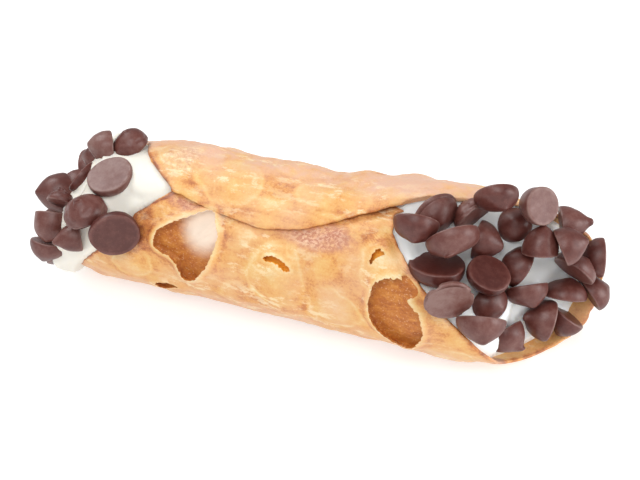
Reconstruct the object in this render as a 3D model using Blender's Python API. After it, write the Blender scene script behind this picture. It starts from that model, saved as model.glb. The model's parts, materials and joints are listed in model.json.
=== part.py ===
"""A filled cannoli: a fried dough tube, sweet cheese cream from end to end, and chocolate chips.

Metres, +Z up. The roll lies along X and rests on a narrow flat strip of its belly at z = 0.
The dough is one oval sheet wrapped once round and lapped over itself. A place on it is given by
"along", mm from the roll's fullest point towards +X, and "turn", degrees wound from the crown of
the roll down its front (-Y) side, under the belly, up the back and over the crown again.
"""

import math

import bmesh
import bpy
import numpy as np
from mathutils import Matrix, Vector
from mathutils.bvhtree import BVHTree

MM = 0.001

# The roll, in mm and degrees.
MIDDLE = 5.7  # along: where the whole part has its middle, and the frame its origin
ASIDE = 2.3  # the roll's axis lies this far behind the origin, as chips stand out in front
ROLL_RADIUS = 17.0
FLARE = 2.0  # how much wider the roll is at its far end
FLARE_FROM = 10.0
FLARE_LENGTH = 35.0
CROWN = 92.0  # how far above level the sheet starts, measured up from the front
BELLY_FLAT = 0.5  # how far the round belly is pressed flat

# The sheet of dough.
DOUGH = 1.9
DOUGH_EDGE = 1.2
EDGE_TAPER = 0.12  # the part of the sheet's breadth over which it thins to its edge
LAP_CLEAR = 0.5  # between the lapped layers
LIFT_START = 318.0  # turn at which the lap starts to rise
LIFT_TURNS = 36.0
LIFT_FROM, LIFT_TO = -42.0, 50.0  # along: the lap rises only between these
LIFT_EASE = 15.0  # mm over which it sinks again at those ends
SHEET_COLUMNS = 30
SHEET_ROWS = 27

# The sheet's outline: (turn, along) down each open end, then (along, turn) across the two edges.
FAR_LIP = [
    (17, 31.5), (35, 31), (54, 35), (82, 43), (108, 51), (133, 56), (160, 57.5),
    (187, 63), (216, 69.5), (254, 72), (284, 70), (312, 62), (345, 50), (361, 43),
]
NEAR_LIP = [
    (39, -22), (54, -27.5), (86, -35), (128, -45.5), (155, -48.5), (200, -49),
    (250, -48.5), (290, -46), (320, -42), (350, -35), (375, -30.5), (388, -26),
]
UNDER_EDGE = [(-22, 39), (-12, 5), (4, -3), (20, 2), (31.5, 17)]
LAP_EDGE = [(-22, 399), (-14, 405), (3, 411), (12, 405), (20, 393), (31.5, 377)]

# Frying leaves the dough wavy all over: wave height and length in mm, and waves round the roll.
WAVE_HEIGHT, WAVE_LENGTH, WAVES_ROUND = 0.25, 32.0, 4
WAVE_SLANT = 0.11  # radians of shift round the roll per mm along
PLAIN_TO = 30.0  # turn up to which the layer under the lap has no waves or blisters
PLAIN_EASE = 20.0
BLISTER_SPREAD = 0.55  # of a blister's radius, where it is down to a third of its height
# Blisters raised by frying: along, degrees up from the front, radius, height.
BLISTERS = [
    (-16, 19, 10.0, 1.3), (35.5, -3, 9.0, 1.2), (8, -26, 8.0, 0.9), (6, 12, 5.0, 0.6),
    (30, 34, 5.0, 0.5), (19, 108, 7.0, 1.0), (-4, 78, 8.0, 0.8), (-20, 96, 7.0, 0.6),
    (46, 118, 8.0, 0.8), (12, -80, 9.0, 0.5), (-30, -150, 9.0, 0.9), (25, 175, 10.0, 1.0),
    (55, -150, 8.0, 0.8), (0, 150, 9.0, 0.9),
]

# Burst blisters: along, degrees up, half length, half height, slant in degrees, depth, sides.
BURSTS = [
    (-16, 21, 7.6, 8.6, 18, 1.0, 14), (35.5, -2, 5.8, 8.2, -8, 1.0, 14),
    (6.5, 14.5, 2.6, 1.6, -20, 0.7, 8), (29.8, 32.5, 1.4, 1.1, 0, 0.6, 8),
    (-22.5, -30, 2.8, 1.4, -15, 0.7, 8),
]
BURST_OUT = 5.0  # how far a burst's cutter stands out of the dough
BURST_TOP = 1.1  # how much wider it is there
# The cutter's rings below that: share of the depth, share of the outline's size.
BURST_BOWL = [(-0.4, 1.0), (0.75, 0.86), (1.0, 0.5)]
BURST_WAVES = (0.14, 0.10)  # how uneven the outline is

# The cream.
CREAM_CLEAR = 0.45
CREAM_SIDES = 24
CREAM_RINGS = 9
# At the far end the cream stops a little inside the lip: (turn, mm). At the near end it
# stands well out of the shell: (turn, along).
FAR_INSET = [(20, 0.5), (70, 0.3), (120, 1.5), (165, 3.6), (260, 3.6), (320, 2.5), (355, 0.8)]
NEAR_RIM = [
    (0, -43.5), (40, -43.5), (80, -48), (120, -52.5), (165, -56), (240, -56), (290, -53), (330, -47)
]
FAR_DOME = 3.0
NEAR_DOME = 3.0
CREAM_SWELL = 1.9  # how far the cream swells once it is clear of the lip
SWELL_EASE = 3.0  # mm over which it does so
CREAM_SAG = 0.7  # how much more it swells where it slumps towards the table, low at the front
SAG_TURN, SAG_TURNS = 150.0, 30.0
CREAM_LIFT = 0.3  # how near the slumped cream comes to the table
LIP_BEFORE, LIP_AFTER = 0.8, 1.5  # mm out of and into the lip, where the cream has a ring each
DOME_RINGS = (0.93, 0.75, 0.5, 0.25)

RIM_REACH = 14.0  # mm from the middle of an end to its rim, as chips are placed
RIM_STEP = 15  # degrees between the places that give an end its middle
SEAT_REACH, SEAT_TURN = 0.1, 0.5  # mm and degrees to the places that give a seat its slope
LEAST_SIDE = 0.2  # a tip nearer than this to straight out takes its side from outwards

# Chocolate chips.
CHIP_SIDES = 8
CHIP_MIDDLE = 0.4  # share of the height at which a chip has its middle
# The dome: radius as a share of the width, level as a share of the height.
CHIP_PROFILE = [(0.475, 0.0), (0.5, 0.12), (0.46, 0.34), (0.345, 0.6), (0.165, 0.83)]
CHIP_BEND = 0.10  # how far the tip leans over, as a share of the width
CHIP_SINK = 1.5  # how deep a chip is pressed into the cream
SOCKET_CLEAR = 0.35  # between a chip and the cream
CHIP_APART = 0.3  # between one chip and the next
EASE_STEP = 0.08  # mm that chips are nudged apart in one round
OUT_STEP = 0.2  # share of a nudge that also moves the upper chip outwards
EASE_ROUNDS = 160
# Each chip, the lower ones first: turn and reach of its seat, how far it stands off the cream
# on the chips below, heading and lift of its tip, width, height as a share of the width.
FAR_CHIPS = [
    (8, 13, 0.5, 175, 45, 10.4, 0.5), (50, 14, 5.5, 90, -25, 10, 0.56),
    (359, 13, 0, 0, -30, 9, 0.48), (304, 13.5, 3, -50, 30, 8.6, 0.84),
    (279, 12.5, 3.5, 160, -35, 8.7, 0.62), (251, 13, 0.5, 45, 20, 9, 0.56),
    (338, 11, -1, 50, 45, 8.2, 0.6), (212, 2, -1, -50, 25, 10, 0.52),
    (104, 7, -1.5, 85, 55, 9.3, 0.55), (216, 12, 0, -80, -10, 8.3, 0.62),
    (249, 8.5, -1, 90, -5, 10.2, 0.46), (340, 4, -1, 55, -5, 9, 0.6),
    (9, 10, 7, 150, 30, 12, 0.46), (63, 11, -1.5, 110, -50, 12, 0.44),
    (0, 8, -1, -140, 20, 8.6, 0.74), (328, 8, 5, 10, 10, 8.2, 0.82),
    (308, 9, 8.5, -30, 30, 8.7, 0.74), (332, 13.5, 6, 0, -85, 8.3, 0.85),
    (351, 16, 7, 160, 30, 9.8, 0.5), (282, 9, 2.5, 30, 0, 10, 0.42),
    (203, 8, 0, -140, -25, 9.2, 0.76), (74, 6.5, 5, 105, -70, 9.8, 0.46),
    (85, 13.5, 2.5, -105, -30, 10.8, 0.34), (107, 12.5, 0.5, 50, 5, 11, 0.52),
    (154, 10, -0.5, 5, 55, 9.4, 0.66),
]
NEAR_CHIPS = [
    (207, 11.5, -1, 15, 60, 9.5, 0.64), (234, 12.5, 0, -100, 10, 9.5, 0.64),
    (267, 12.5, 0, 60, -60, 10, 0.64), (174, 6.5, 0, 105, 50, 9, 0.64),
    (250, 5.5, -1, -165, -40, 9.5, 0.64), (141, 17.5, -3.5, 0, -85, 9, 0.4),
    (358, 9, -1, 160, 55, 6.6, 0.66), (10, 13.5, -2, 130, 50, 8.2, 0.7),
    (90, 2.5, 0, 10, 45, 9.8, 0.8), (116, 13.5, -2, 45, 0, 9, 0.56),
    (39, 11, -1, 50, -75, 8.2, 0.5), (65, 12, -0.5, -110, 10, 7.4, 0.5),
    (91, 18, -1, 175, 35, 6.8, 1), (93, 12, -1, 50, -10, 8.8, 0.8),
    (3, 19, -1, 155, 60, 8.6, 0.6), (38, 19.5, -1, 65, -75, 10.8, 0.4),
    (64, 19, 0, -110, 35, 10.2, 0.66), (75, 29, 4, -145, -50, 11.8, 0.36),
]


# Colours (linear) and roughness.
DOUGH_FINISH = ((0.80, 0.47, 0.20), 0.6)
CREAM_FINISH = ((0.90, 0.86, 0.76), 0.5)
CHOCOLATE_FINISH = ((0.075, 0.028, 0.018), 0.35)
CREASE = math.radians(50)  # faces that meet more sharply than this are shaded apart


def smooth_step(value):
    value = np.clip(value, 0.0, 1.0)
    return value * value * (3 - 2 * value)


def curve_through(points, at, period=None):
    """A smooth curve through (position, value) points, read at the positions asked for."""
    knots = np.array(points, float)
    if period:
        before = knots[-2:] - (period, 0)
        after = knots[:2] + (period, 0)
        knots = np.vstack([before, knots, after])
        at = knots[2, 0] + np.mod(np.asarray(at, float) - knots[2, 0], period)
    place, value = knots[:, 0], knots[:, 1]
    slope = np.gradient(value, place)
    k = np.clip(np.searchsorted(place, at, side="right") - 1, 0, len(place) - 2)
    width = place[k + 1] - place[k]
    t = (at - place[k]) / width
    from_left = value[k] * (1 + 2 * t) * (1 - t) ** 2 + slope[k] * width * t * (1 - t) ** 2
    from_right = value[k + 1] * t * t * (3 - 2 * t) - slope[k + 1] * width * t * t * (1 - t)
    return from_left + from_right


def far_lip(turn):
    return curve_through(FAR_LIP, turn, 360)


def near_lip(turn):
    return curve_through(NEAR_LIP, turn, 360)


def roll_radius(along):
    return ROLL_RADIUS + FLARE * smooth_step((along - FLARE_FROM) / FLARE_LENGTH)


def wrapped(along, turn, out):
    """Points in metres, "out" mm outside the roll's own radius."""
    up = np.radians(CROWN - turn)
    radius = roll_radius(along)
    height = radius - BELLY_FLAT + (radius + out) * np.sin(up)
    across = ASIDE - (radius + out) * np.cos(up)
    places = np.stack([along - MIDDLE, across, height], axis=-1)
    return places * MM


def lap_lift(along, turn):
    """How far the lap rises over the layer below it, and sinks again beside that layer."""
    rise = smooth_step((turn - LIFT_START) / LIFT_TURNS)
    beside = smooth_step((LIFT_TO - along) / LIFT_EASE) * smooth_step((along - LIFT_FROM) / LIFT_EASE)
    return (DOUGH + LAP_CLEAR) * rise * beside


def blister_height(along, turn):
    """Outward swell of the dough; the belly and the layer under the lap stay plain."""
    up = CROWN - turn
    swell = WAVE_HEIGHT * np.sin(2 * math.pi * along / WAVE_LENGTH + 1)
    swell = swell * np.sin(np.radians(up * WAVES_ROUND) + along * WAVE_SLANT)
    for centre, level, spread, height in BLISTERS:
        around = (np.mod(up - level + 180, 360) - 180) * math.radians(1) * ROLL_RADIUS
        distance = np.hypot(along - centre, around)
        swell = swell + height * np.exp(-((distance / (BLISTER_SPREAD * spread)) ** 2))
    return swell * smooth_step((turn - PLAIN_TO) / PLAIN_EASE)


def sheet_place(across, down):
    """Along and turn at a fraction (0 to 1) across the sheet and down its winding."""
    left_turn = NEAR_LIP[0][0] + 360 * down
    right_turn = FAR_LIP[0][0] + 360 * down
    top_along = UNDER_EDGE[0][0] + (UNDER_EDGE[-1][0] - UNDER_EDGE[0][0]) * across
    under = np.stack([top_along, curve_through(UNDER_EDGE, top_along)])
    lap = np.stack([top_along, curve_through(LAP_EDGE, top_along)])
    left = np.stack([near_lip(left_turn), left_turn])
    right = np.stack([far_lip(right_turn), right_turn])
    corners = [
        np.array(edge[end], float)[:, None] for edge in (UNDER_EDGE, LAP_EDGE) for end in (0, -1)
    ]
    blend = (1 - down) * under + down * lap + (1 - across) * left + across * right
    twice = (1 - down) * ((1 - across) * corners[0] + across * corners[1])
    twice = twice + down * ((1 - across) * corners[2] + across * corners[3])
    return blend - twice


def add_object(name, mesh, colour, roughness):
    """A named object with a material of its own."""
    material = bpy.data.materials.new(name)
    material.use_nodes = True
    shader = material.node_tree.nodes["Principled BSDF"]
    shader.inputs["Base Color"].default_value = (*colour, 1)
    shader.inputs["Roughness"].default_value = roughness
    shader.inputs["Metallic"].default_value = 0.0
    mesh.materials.append(material)
    thing = bpy.data.objects.new(name, mesh)
    bpy.context.scene.collection.objects.link(thing)
    return thing


def mesh_of_rings(name, rings, first_tip=None, last_tip=None):
    """A closed mesh of equal rings, in order, with a point or a flat face at each end."""
    bm = bmesh.new()
    loops = [[bm.verts.new(point) for point in ring] for ring in rings]
    sides = len(loops[0])
    for lower, upper in zip(loops, loops[1:]):
        for i in range(sides):
            j = (i + 1) % sides
            bm.faces.new((lower[i], lower[j], upper[j], upper[i]))
    for loop, tip, turned in ((loops[0], first_tip, True), (loops[-1], last_tip, False)):
        if tip is None:
            bm.faces.new(loop[::-1] if turned else loop)
            continue
        point = bm.verts.new(tip)
        for i in range(sides):
            pair = (loop[i], loop[(i + 1) % sides])
            bm.faces.new((*(pair[::-1] if turned else pair), point))
    bmesh.ops.recalc_face_normals(bm, faces=bm.faces)
    mesh = bpy.data.meshes.new(name)
    bm.to_mesh(mesh)
    bm.free()
    mesh.shade_smooth()
    return mesh


def cut(thing, cutter):
    """Takes the cutter's shape out of the thing."""
    cutter.hide_render = True
    cutter.display_type = "WIRE"
    bpy.context.scene.collection.objects.link(cutter)
    boolean = thing.modifiers.new(f"cut by {cutter.name}", "BOOLEAN")
    boolean.operation = "DIFFERENCE"
    boolean.object = cutter


def burst_cutter(number, along, up, half_length, half_height, slant, depth, sides):
    """A drum that opens one burst blister down to a bowl-shaped floor."""
    angle = np.linspace(0, 2 * math.pi, sides, endpoint=False)
    twofold, threefold = BURST_WAVES
    spread = 1 + twofold * np.sin(2 * angle + number) + threefold * np.cos(3 * angle + number)
    lean = math.radians(slant)
    levels = [(BURST_OUT, BURST_TOP)] + [(-share * depth, scale) for share, scale in BURST_BOWL]
    rings = []
    for out, scale in levels:
        x = half_length * scale * spread * np.cos(angle)
        y = half_height * scale * spread * np.sin(angle)
        place = along + x * math.cos(lean) - y * math.sin(lean)
        around = x * math.sin(lean) + y * math.cos(lean)
        turn = CROWN - up - np.degrees(around / roll_radius(along))
        rings.append(wrapped(place, turn, out))
    floor = wrapped(np.float64(along), np.float64(CROWN - up), -depth)
    top = wrapped(np.float64(along), np.float64(CROWN - up), BURST_OUT)
    mesh = mesh_of_rings(f"burst_{number}", rings, first_tip=top, last_tip=floor)
    return bpy.data.objects.new(f"burst_{number}", mesh)


def add_shell():
    """The sheet's two skins, wrapped round the roll and joined at the sheet's edge."""
    bm = bmesh.new()
    skins = []
    for outer in (True, False):
        made = bmesh.ops.create_grid(
            bm, x_segments=SHEET_COLUMNS, y_segments=SHEET_ROWS, size=1
        )["verts"]
        flat = np.array([vert.co for vert in made])
        across, down = (flat[:, 0] + 1) / 2, (flat[:, 1] + 1) / 2
        along, turn = sheet_place(across, down)
        from_edge = np.minimum.reduce([across, 1 - across, down, 1 - down])
        thick = DOUGH_EDGE + (DOUGH - DOUGH_EDGE) * smooth_step(from_edge / EDGE_TAPER)
        out = lap_lift(along, turn) - DOUGH
        if outer:
            out = out + thick + blister_height(along, turn) * smooth_step(from_edge / EDGE_TAPER)
        for vert, place in zip(made, wrapped(along, turn, out)):
            vert.co = Vector(place)
            vert.co.z = max(vert.co.z, 0.0)
        skins.append(made)
        if not outer:
            faces = list({face for vert in made for face in vert.link_faces})
            bmesh.ops.reverse_faces(bm, faces=faces)
    rim = [edge for edge in bm.edges if edge.is_boundary]
    bmesh.ops.bridge_loops(bm, edges=rim)
    bmesh.ops.recalc_face_normals(bm, faces=bm.faces)
    mesh = bpy.data.meshes.new("shell")
    bm.to_mesh(mesh)
    bm.free()
    mesh.shade_smooth()
    mesh.set_sharp_from_angle(angle=CREASE)
    shell = add_object("shell", mesh, *DOUGH_FINISH)
    for number, burst in enumerate(BURSTS):
        cut(shell, burst_cutter(number, *burst))
    return shell


def cream_rim(end, turn):
    """Along and outward place of the cream's edge, where its side turns into its domed end."""
    if end == "far":
        return far_lip(turn) - curve_through(FAR_INSET, turn, 360)
    return curve_through(NEAR_RIM, turn, 360)


def cream_out(along, turn):
    """The cream's side: snug in the bore, swelling once it is clear of the near lip."""
    swell = CREAM_SWELL * smooth_step((near_lip(turn) - LIP_BEFORE - along) / SWELL_EASE)
    swell = swell * (1 + CREAM_SAG * np.exp(-(((turn - SAG_TURN) / SAG_TURNS) ** 2)))
    return swell - DOUGH - CREAM_CLEAR


def cream_place(end, turn, reach):
    """A point on the cream's end, "reach" mm out from its middle. Past the near rim it runs
    back along the cream's side; past the far rim it goes on out over the shell's lip."""
    every = np.arange(0, 360, RIM_STEP)
    middle = cream_rim(end, every).mean()
    outward, dome = (1, FAR_DOME) if end == "far" else (-1, NEAR_DOME)
    rim = cream_rim(end, turn)
    if reach > RIM_REACH and end == "near":
        along = rim - outward * (reach - RIM_REACH)
        return wrapped(along, turn, cream_out(along, turn))
    share = reach / RIM_REACH
    along = middle + (rim - middle) * share + outward * dome * (1 - min(share, 1) ** 2)
    side = roll_radius(along) + cream_out(rim, turn)
    return wrapped(along, turn, side * share - roll_radius(along))


def add_cream():
    turns = np.arange(CREAM_SIDES) * 360 / CREAM_SIDES
    near, far = cream_rim("near", turns), cream_rim("far", turns)
    lip = near_lip(turns)
    inside = lip + LIP_AFTER
    rows = [near, (near + lip) / 2, lip - LIP_BEFORE]
    rows += [inside + (far - inside) * step for step in np.linspace(0, 1, CREAM_RINGS)]
    rings = [wrapped(along, turns, cream_out(along, turns)) for along in rows]
    for ring in rings:
        ring[:, 2] = np.maximum(ring[:, 2], CREAM_LIFT * MM)
    for share in DOME_RINGS:
        for end in ("near", "far"):
            ring = np.array([cream_place(end, turn, share * RIM_REACH) for turn in turns])
            rings = [ring, *rings] if end == "near" else [*rings, ring]
    tips = [cream_place(end, 0.0, 0.0) for end in ("near", "far")]
    mesh = mesh_of_rings("cream", rings, *tips)
    return add_object("cream", mesh, *CREAM_FINISH)


def chip_shape(width, tall):
    """Rings and tip of a chip standing on its flat base, its middle at the origin."""
    height = tall * width
    angle = np.arange(CHIP_SIDES) * 2 * math.pi / CHIP_SIDES
    rings = []
    for radius, level in (*CHIP_PROFILE, (0.0, 1.0)):
        lean = CHIP_BEND * width * level**3
        x = radius * width * np.cos(angle) + lean
        y = radius * width * np.sin(angle)
        z = np.full_like(angle, (level - CHIP_MIDDLE) * height)
        rings.append(np.stack([x, y, z], axis=-1) * MM)
    return rings[:-1], rings[-1][0]


def seat(end, turn, reach):
    """Where a chip meets the cream: the place, then outwards, sideways (the way the sheet
    winds) and straight out of the cream."""
    place = Vector(cream_place(end, turn, reach))
    outwards = Vector(cream_place(end, turn, reach + SEAT_REACH)) - place
    sideways = Vector(cream_place(end, turn + SEAT_TURN, reach)) - place
    normal = outwards.cross(sideways) if end == "far" else sideways.cross(outwards)
    outwards.normalize()
    normal.normalize()
    sideways = normal.cross(outwards) if end == "far" else outwards.cross(normal)
    return place, outwards, sideways, normal


def chip_turning(end, turn, reach, heading, lift):
    """The rotation that stands a chip at its place: its own +Z, the tip, points at "heading"
    degrees from outwards to sideways and "lift" degrees out of the cream."""
    _, outwards, sideways, normal = seat(end, turn, reach)
    flat = math.cos(math.radians(lift))
    tip = flat * math.cos(math.radians(heading)) * outwards
    tip += flat * math.sin(math.radians(heading)) * sideways
    tip += math.sin(math.radians(lift)) * normal
    side = normal - normal.dot(tip) * tip
    if side.length < LEAST_SIDE:
        side = outwards - outwards.dot(tip) * tip
    side.normalize()
    return Matrix((side, tip.cross(side), tip)).transposed()


def pressed_in(end, turn, reach, off, heading, lift, width, tall):
    """A chip's rings and tip where it lies, sunk a little into the cream or "off" mm off it."""
    rings, tip = chip_shape(width, tall)
    turning = np.array(chip_turning(end, turn, reach, heading, lift))
    place, _, _, normal = seat(end, turn, reach)
    normal = np.array(normal)
    rings = [ring @ turning.T for ring in rings]
    tip = turning @ tip
    lowest = min(float((point @ normal).min()) for point in (*rings, tip))
    shift = np.array(place) + normal * ((off - CHIP_SINK) * MM - lowest)
    return [ring + shift for ring in rings], tip + shift


def chip_mesh(name, rings, tip):
    base_middle = rings[0].mean(axis=0)
    mesh = mesh_of_rings(name, rings, first_tip=base_middle, last_tip=tip)
    mesh.set_sharp_from_angle(angle=CREASE)
    return mesh


def grown(rings, tip, by):
    """The same chip, larger by "by" mm on every side."""
    points = np.vstack([*rings, tip])
    low, high = points.min(axis=0), points.max(axis=0)
    middle = (low + high) / 2
    scale = 1 + 2 * by * MM / (high - low).min()
    return [middle + (ring - middle) * scale for ring in rings], middle + (tip - middle) * scale


def tree_of(rings, tip):
    """A search tree over a chip's faces."""
    points = [Vector(point) for point in np.vstack([*rings, tip])]
    sides = len(rings[0])
    faces = [list(range(sides))]
    for level in range(len(rings) - 1):
        for i in range(sides):
            j = (i + 1) % sides
            low = level * sides
            faces.append([low + i, low + j, low + sides + j, low + sides + i])
    last = (len(rings) - 1) * sides
    faces += [[last + i, last + (i + 1) % sides, len(points) - 1] for i in range(sides)]
    return BVHTree.FromPolygons(points, faces)


def eased_apart(chips, shell_tree):
    """Nudges the chips until none touches another, the shell or the table."""
    chips = [[end, rings, tip, np.array(normal)] for end, rings, tip, normal in chips]
    step = EASE_STEP * MM
    for _ in range(EASE_ROUNDS):
        trees = [tree_of(*grown(chip[1], chip[2], CHIP_APART / 2)) for chip in chips]
        middles = [np.vstack([*chip[1], chip[2]]).mean(axis=0) for chip in chips]
        moves = np.zeros((len(chips), 3))
        for i, chip in enumerate(chips):
            if trees[i].overlap(shell_tree):
                moves[i] += step * chip[3]
            for j in range(i):
                if chips[j][0] == chip[0] and trees[i].overlap(trees[j]):
                    away = middles[i] - middles[j]
                    away *= step / (2 * np.linalg.norm(away))
                    moves[i] += away + OUT_STEP * step * chip[3]
                    moves[j] -= away
        for chip, move in zip(chips, moves):
            lowest = min(chip[2][2], min(ring[:, 2].min() for ring in chip[1]))
            move[2] += max(0.0, CHIP_APART * MM - lowest)
            chip[1] = [ring + move for ring in chip[1]]
            chip[2] = chip[2] + move
        if not moves.any():
            break
    return [(rings, tip) for _, rings, tip, _ in chips]


def add_chips(shell, cream):
    shell_tree = BVHTree.FromObject(shell, bpy.context.evaluated_depsgraph_get())
    placed = []
    for end, rows in (("far", FAR_CHIPS), ("near", NEAR_CHIPS)):
        for row in rows:
            normal = seat(end, row[0], row[1])[3]
            placed.append((end, *pressed_in(end, *row), normal))
    cream_tree = BVHTree.FromObject(cream, bpy.context.evaluated_depsgraph_get())
    for number, (rings, tip) in enumerate(eased_apart(placed, shell_tree), 1):
        name = f"chip_{number:02d}"
        add_object(name, chip_mesh(name, rings, tip), *CHOCOLATE_FINISH)
        rings, tip = grown(rings, tip, SOCKET_CLEAR)
        if tree_of(rings, tip).overlap(cream_tree):
            cut(cream, bpy.data.objects.new(f"socket_{number:02d}", chip_mesh(name, rings, tip)))


def main():
    for thing in list(bpy.data.objects):
        bpy.data.objects.remove(thing, do_unlink=True)
    shell = add_shell()
    cream = add_cream()
    bpy.context.view_layer.update()
    add_chips(shell, cream)


if __name__ == "__main__":
    main()
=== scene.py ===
# %% [markdown]
# # A filled cannoli, from the frame to the finish
#
# A cannoli is a tube of fried dough, filled from end to end with sweet ricotta cream, and dressed
# at both ends with chocolate chips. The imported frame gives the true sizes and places. This lesson
# rebuilds each piece finely enough to look at: the blistered dough, the smooth cream and the chips.

import json
import math

import bmesh
import bpy
import numpy as np
from mathutils import Matrix, Vector, noise
from mathutils.bvhtree import BVHTree

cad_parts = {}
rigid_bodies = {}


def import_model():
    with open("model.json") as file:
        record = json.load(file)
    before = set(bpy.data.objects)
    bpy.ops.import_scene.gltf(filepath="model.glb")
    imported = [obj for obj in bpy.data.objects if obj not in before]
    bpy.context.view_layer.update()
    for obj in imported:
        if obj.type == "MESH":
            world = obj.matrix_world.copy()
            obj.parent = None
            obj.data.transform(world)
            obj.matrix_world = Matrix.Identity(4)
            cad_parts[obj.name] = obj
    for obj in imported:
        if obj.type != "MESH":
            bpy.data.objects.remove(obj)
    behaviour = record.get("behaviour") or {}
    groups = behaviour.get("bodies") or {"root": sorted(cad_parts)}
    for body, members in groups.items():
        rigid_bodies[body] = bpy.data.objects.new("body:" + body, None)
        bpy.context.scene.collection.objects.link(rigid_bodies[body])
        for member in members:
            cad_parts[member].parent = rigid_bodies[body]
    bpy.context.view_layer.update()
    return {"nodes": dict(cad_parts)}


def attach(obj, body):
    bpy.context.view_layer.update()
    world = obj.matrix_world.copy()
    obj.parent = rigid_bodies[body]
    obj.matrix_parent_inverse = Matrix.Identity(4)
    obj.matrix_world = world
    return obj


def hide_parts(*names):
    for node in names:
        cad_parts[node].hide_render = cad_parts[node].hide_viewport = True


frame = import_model()
MM = 0.001
chip_nodes = sorted(name for name in frame["nodes"] if name.startswith("chip_"))
print("nodes:", len(frame["nodes"]), "of them chips:", len(chip_nodes))

# %% [markdown]
# ## Camera
#
# The roll is looked at from the front and above, turned so that its wider end comes forward on
# the right. A 100 mm lens from 0.41 m away keeps the perspective calm, as for small food.

# %% The camera
ROLL_MIDDLE = Vector((-5.7, 2.3, 16.6)) * MM  # a point on the roll's axis
AZIMUTH = math.radians(22.5)
ELEVATION = math.radians(32.0)
DISTANCE = 0.411
LENS = 100.0  # mm
TARGET_RIGHT = 9.25 * MM  # how far right of that point the camera aims

backwards = Vector(
    (
        math.sin(AZIMUTH) * math.cos(ELEVATION),
        -math.cos(AZIMUTH) * math.cos(ELEVATION),
        math.sin(ELEVATION),
    )
)
rightwards = Vector((math.cos(AZIMUTH), math.sin(AZIMUTH), 0.0))
target = ROLL_MIDDLE + TARGET_RIGHT * rightwards
bpy.ops.object.camera_add(location=target + DISTANCE * backwards)
camera = bpy.context.object
camera.rotation_euler = (-backwards).to_track_quat("-Z", "Y").to_euler()
camera.data.lens = LENS
camera.data.clip_start = 0.01
bpy.context.scene.camera = camera
print("camera at", [round(value, 3) for value in camera.location])

# %% [markdown]
# ## Studio
#
# Food for a catalogue is lit high-key: a white table, a bright even room and large soft lamps, so
# that the table turns white and only a breath of shadow is left under the roll. Colours are kept
# as they are by the Standard view, with no film curve.

# %% The table and the lamps
TABLE_SIDE = 4.0
TABLE_GLOW = 0.60
ROOM_LIGHT = 0.50
LAMPS = [  # where it hangs, its side in metres, its power in watts
    ((0.10, -0.60, 0.75), 0.6, 4.5),
    ((-0.55, 0.10, 0.75), 0.5, 4.0),
    ((0.80, 0.03, 0.25), 0.5, 4.0),
]


def srgb(code, alpha=1.0):
    """A hex colour as the linear values that Blender's sockets take."""
    values = [int(code[i : i + 2], 16) / 255 for i in (0, 2, 4)]
    linear = [v / 12.92 if v <= 0.04045 else ((v + 0.055) / 1.055) ** 2.4 for v in values]
    return (*linear, alpha)


def new_material(name, settings):
    """A material and its Principled shader, with these of the shader's sockets set."""
    material = bpy.data.materials.new(name)
    material.use_nodes = True
    shader = material.node_tree.nodes["Principled BSDF"]
    for socket, value in settings.items():
        shader.inputs[socket].default_value = value
    return material, shader


bpy.context.scene.view_settings.view_transform = "Standard"
world = bpy.data.worlds.new("room")
world.use_nodes = True
room = world.node_tree.nodes["Background"]
room.inputs["Color"].default_value = srgb("ffffff")
room.inputs["Strength"].default_value = ROOM_LIGHT
bpy.context.scene.world = world

bpy.ops.object.select_all(action="DESELECT")
bpy.ops.mesh.primitive_plane_add(size=TABLE_SIDE, location=(0, 0, 0))
table = bpy.context.object
table.name = "table"
acrylic, _ = new_material(
    "back_lit_white_acrylic",
    {
        "Base Color": srgb("c4c4c4"), "Roughness": 0.9, "Specular IOR Level": 0.1,
        "Emission Color": srgb("ffffff"), "Emission Strength": TABLE_GLOW,
    },
)
table.data.materials.append(acrylic)

for place, side, power in LAMPS:
    bpy.ops.object.light_add(type="AREA", location=place)
    lamp = bpy.context.object
    lamp.rotation_euler = (Vector(place) - target).to_track_quat("Z", "Y").to_euler()
    lamp.data.size = side
    lamp.data.energy = power
print("lamps:", len(LAMPS))

# %% [markdown]
# ## The flat sheet of dough
#
# The shell starts as one oval sheet of dough, rolled out and wrapped once round a steel tube, with
# one edge lapped over the other and stuck down. Then it is fried on the tube. Here too it starts
# flat, as a grid, so that "across" the sheet and "down" its winding stay easy to find.
#
# A place on it is told by two numbers. "Along" is mm from the roll's fullest point towards its
# wide end. "Turn" is degrees wound from the crown down the front, under the belly, up the back
# and over the crown again. A bend modifier can't give the slanted lips and the lap's curved edge,
# so the grid's points are placed by that rule instead.

# %% Easing and smooth curves


def smooth_step(value):
    """0 below 0, 1 above 1, and an easy slope between."""
    value = np.clip(value, 0.0, 1.0)
    return value * value * (3 - 2 * value)


def curve_through(points, at, period=None):
    """A smooth curve through (position, value) points, read at the positions asked for."""
    knots = np.array(points, float)
    if period:
        knots = np.vstack([knots[-2:] - (period, 0), knots, knots[:2] + (period, 0)])
        at = knots[2, 0] + np.mod(np.asarray(at, float) - knots[2, 0], period)
    place, value = knots[:, 0], knots[:, 1]
    slope = np.gradient(value, place)
    k = np.clip(np.searchsorted(place, at, side="right") - 1, 0, len(place) - 2)
    width = place[k + 1] - place[k]
    t = (at - place[k]) / width
    from_left = value[k] * (1 + 2 * t) * (1 - t) ** 2 + slope[k] * width * t * (1 - t) ** 2
    from_right = value[k + 1] * t * t * (3 - 2 * t) - slope[k + 1] * width * t * t * (1 - t)
    return from_left + from_right


print("a quarter of the way, an easy slope is at", float(smooth_step(0.25)))

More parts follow.
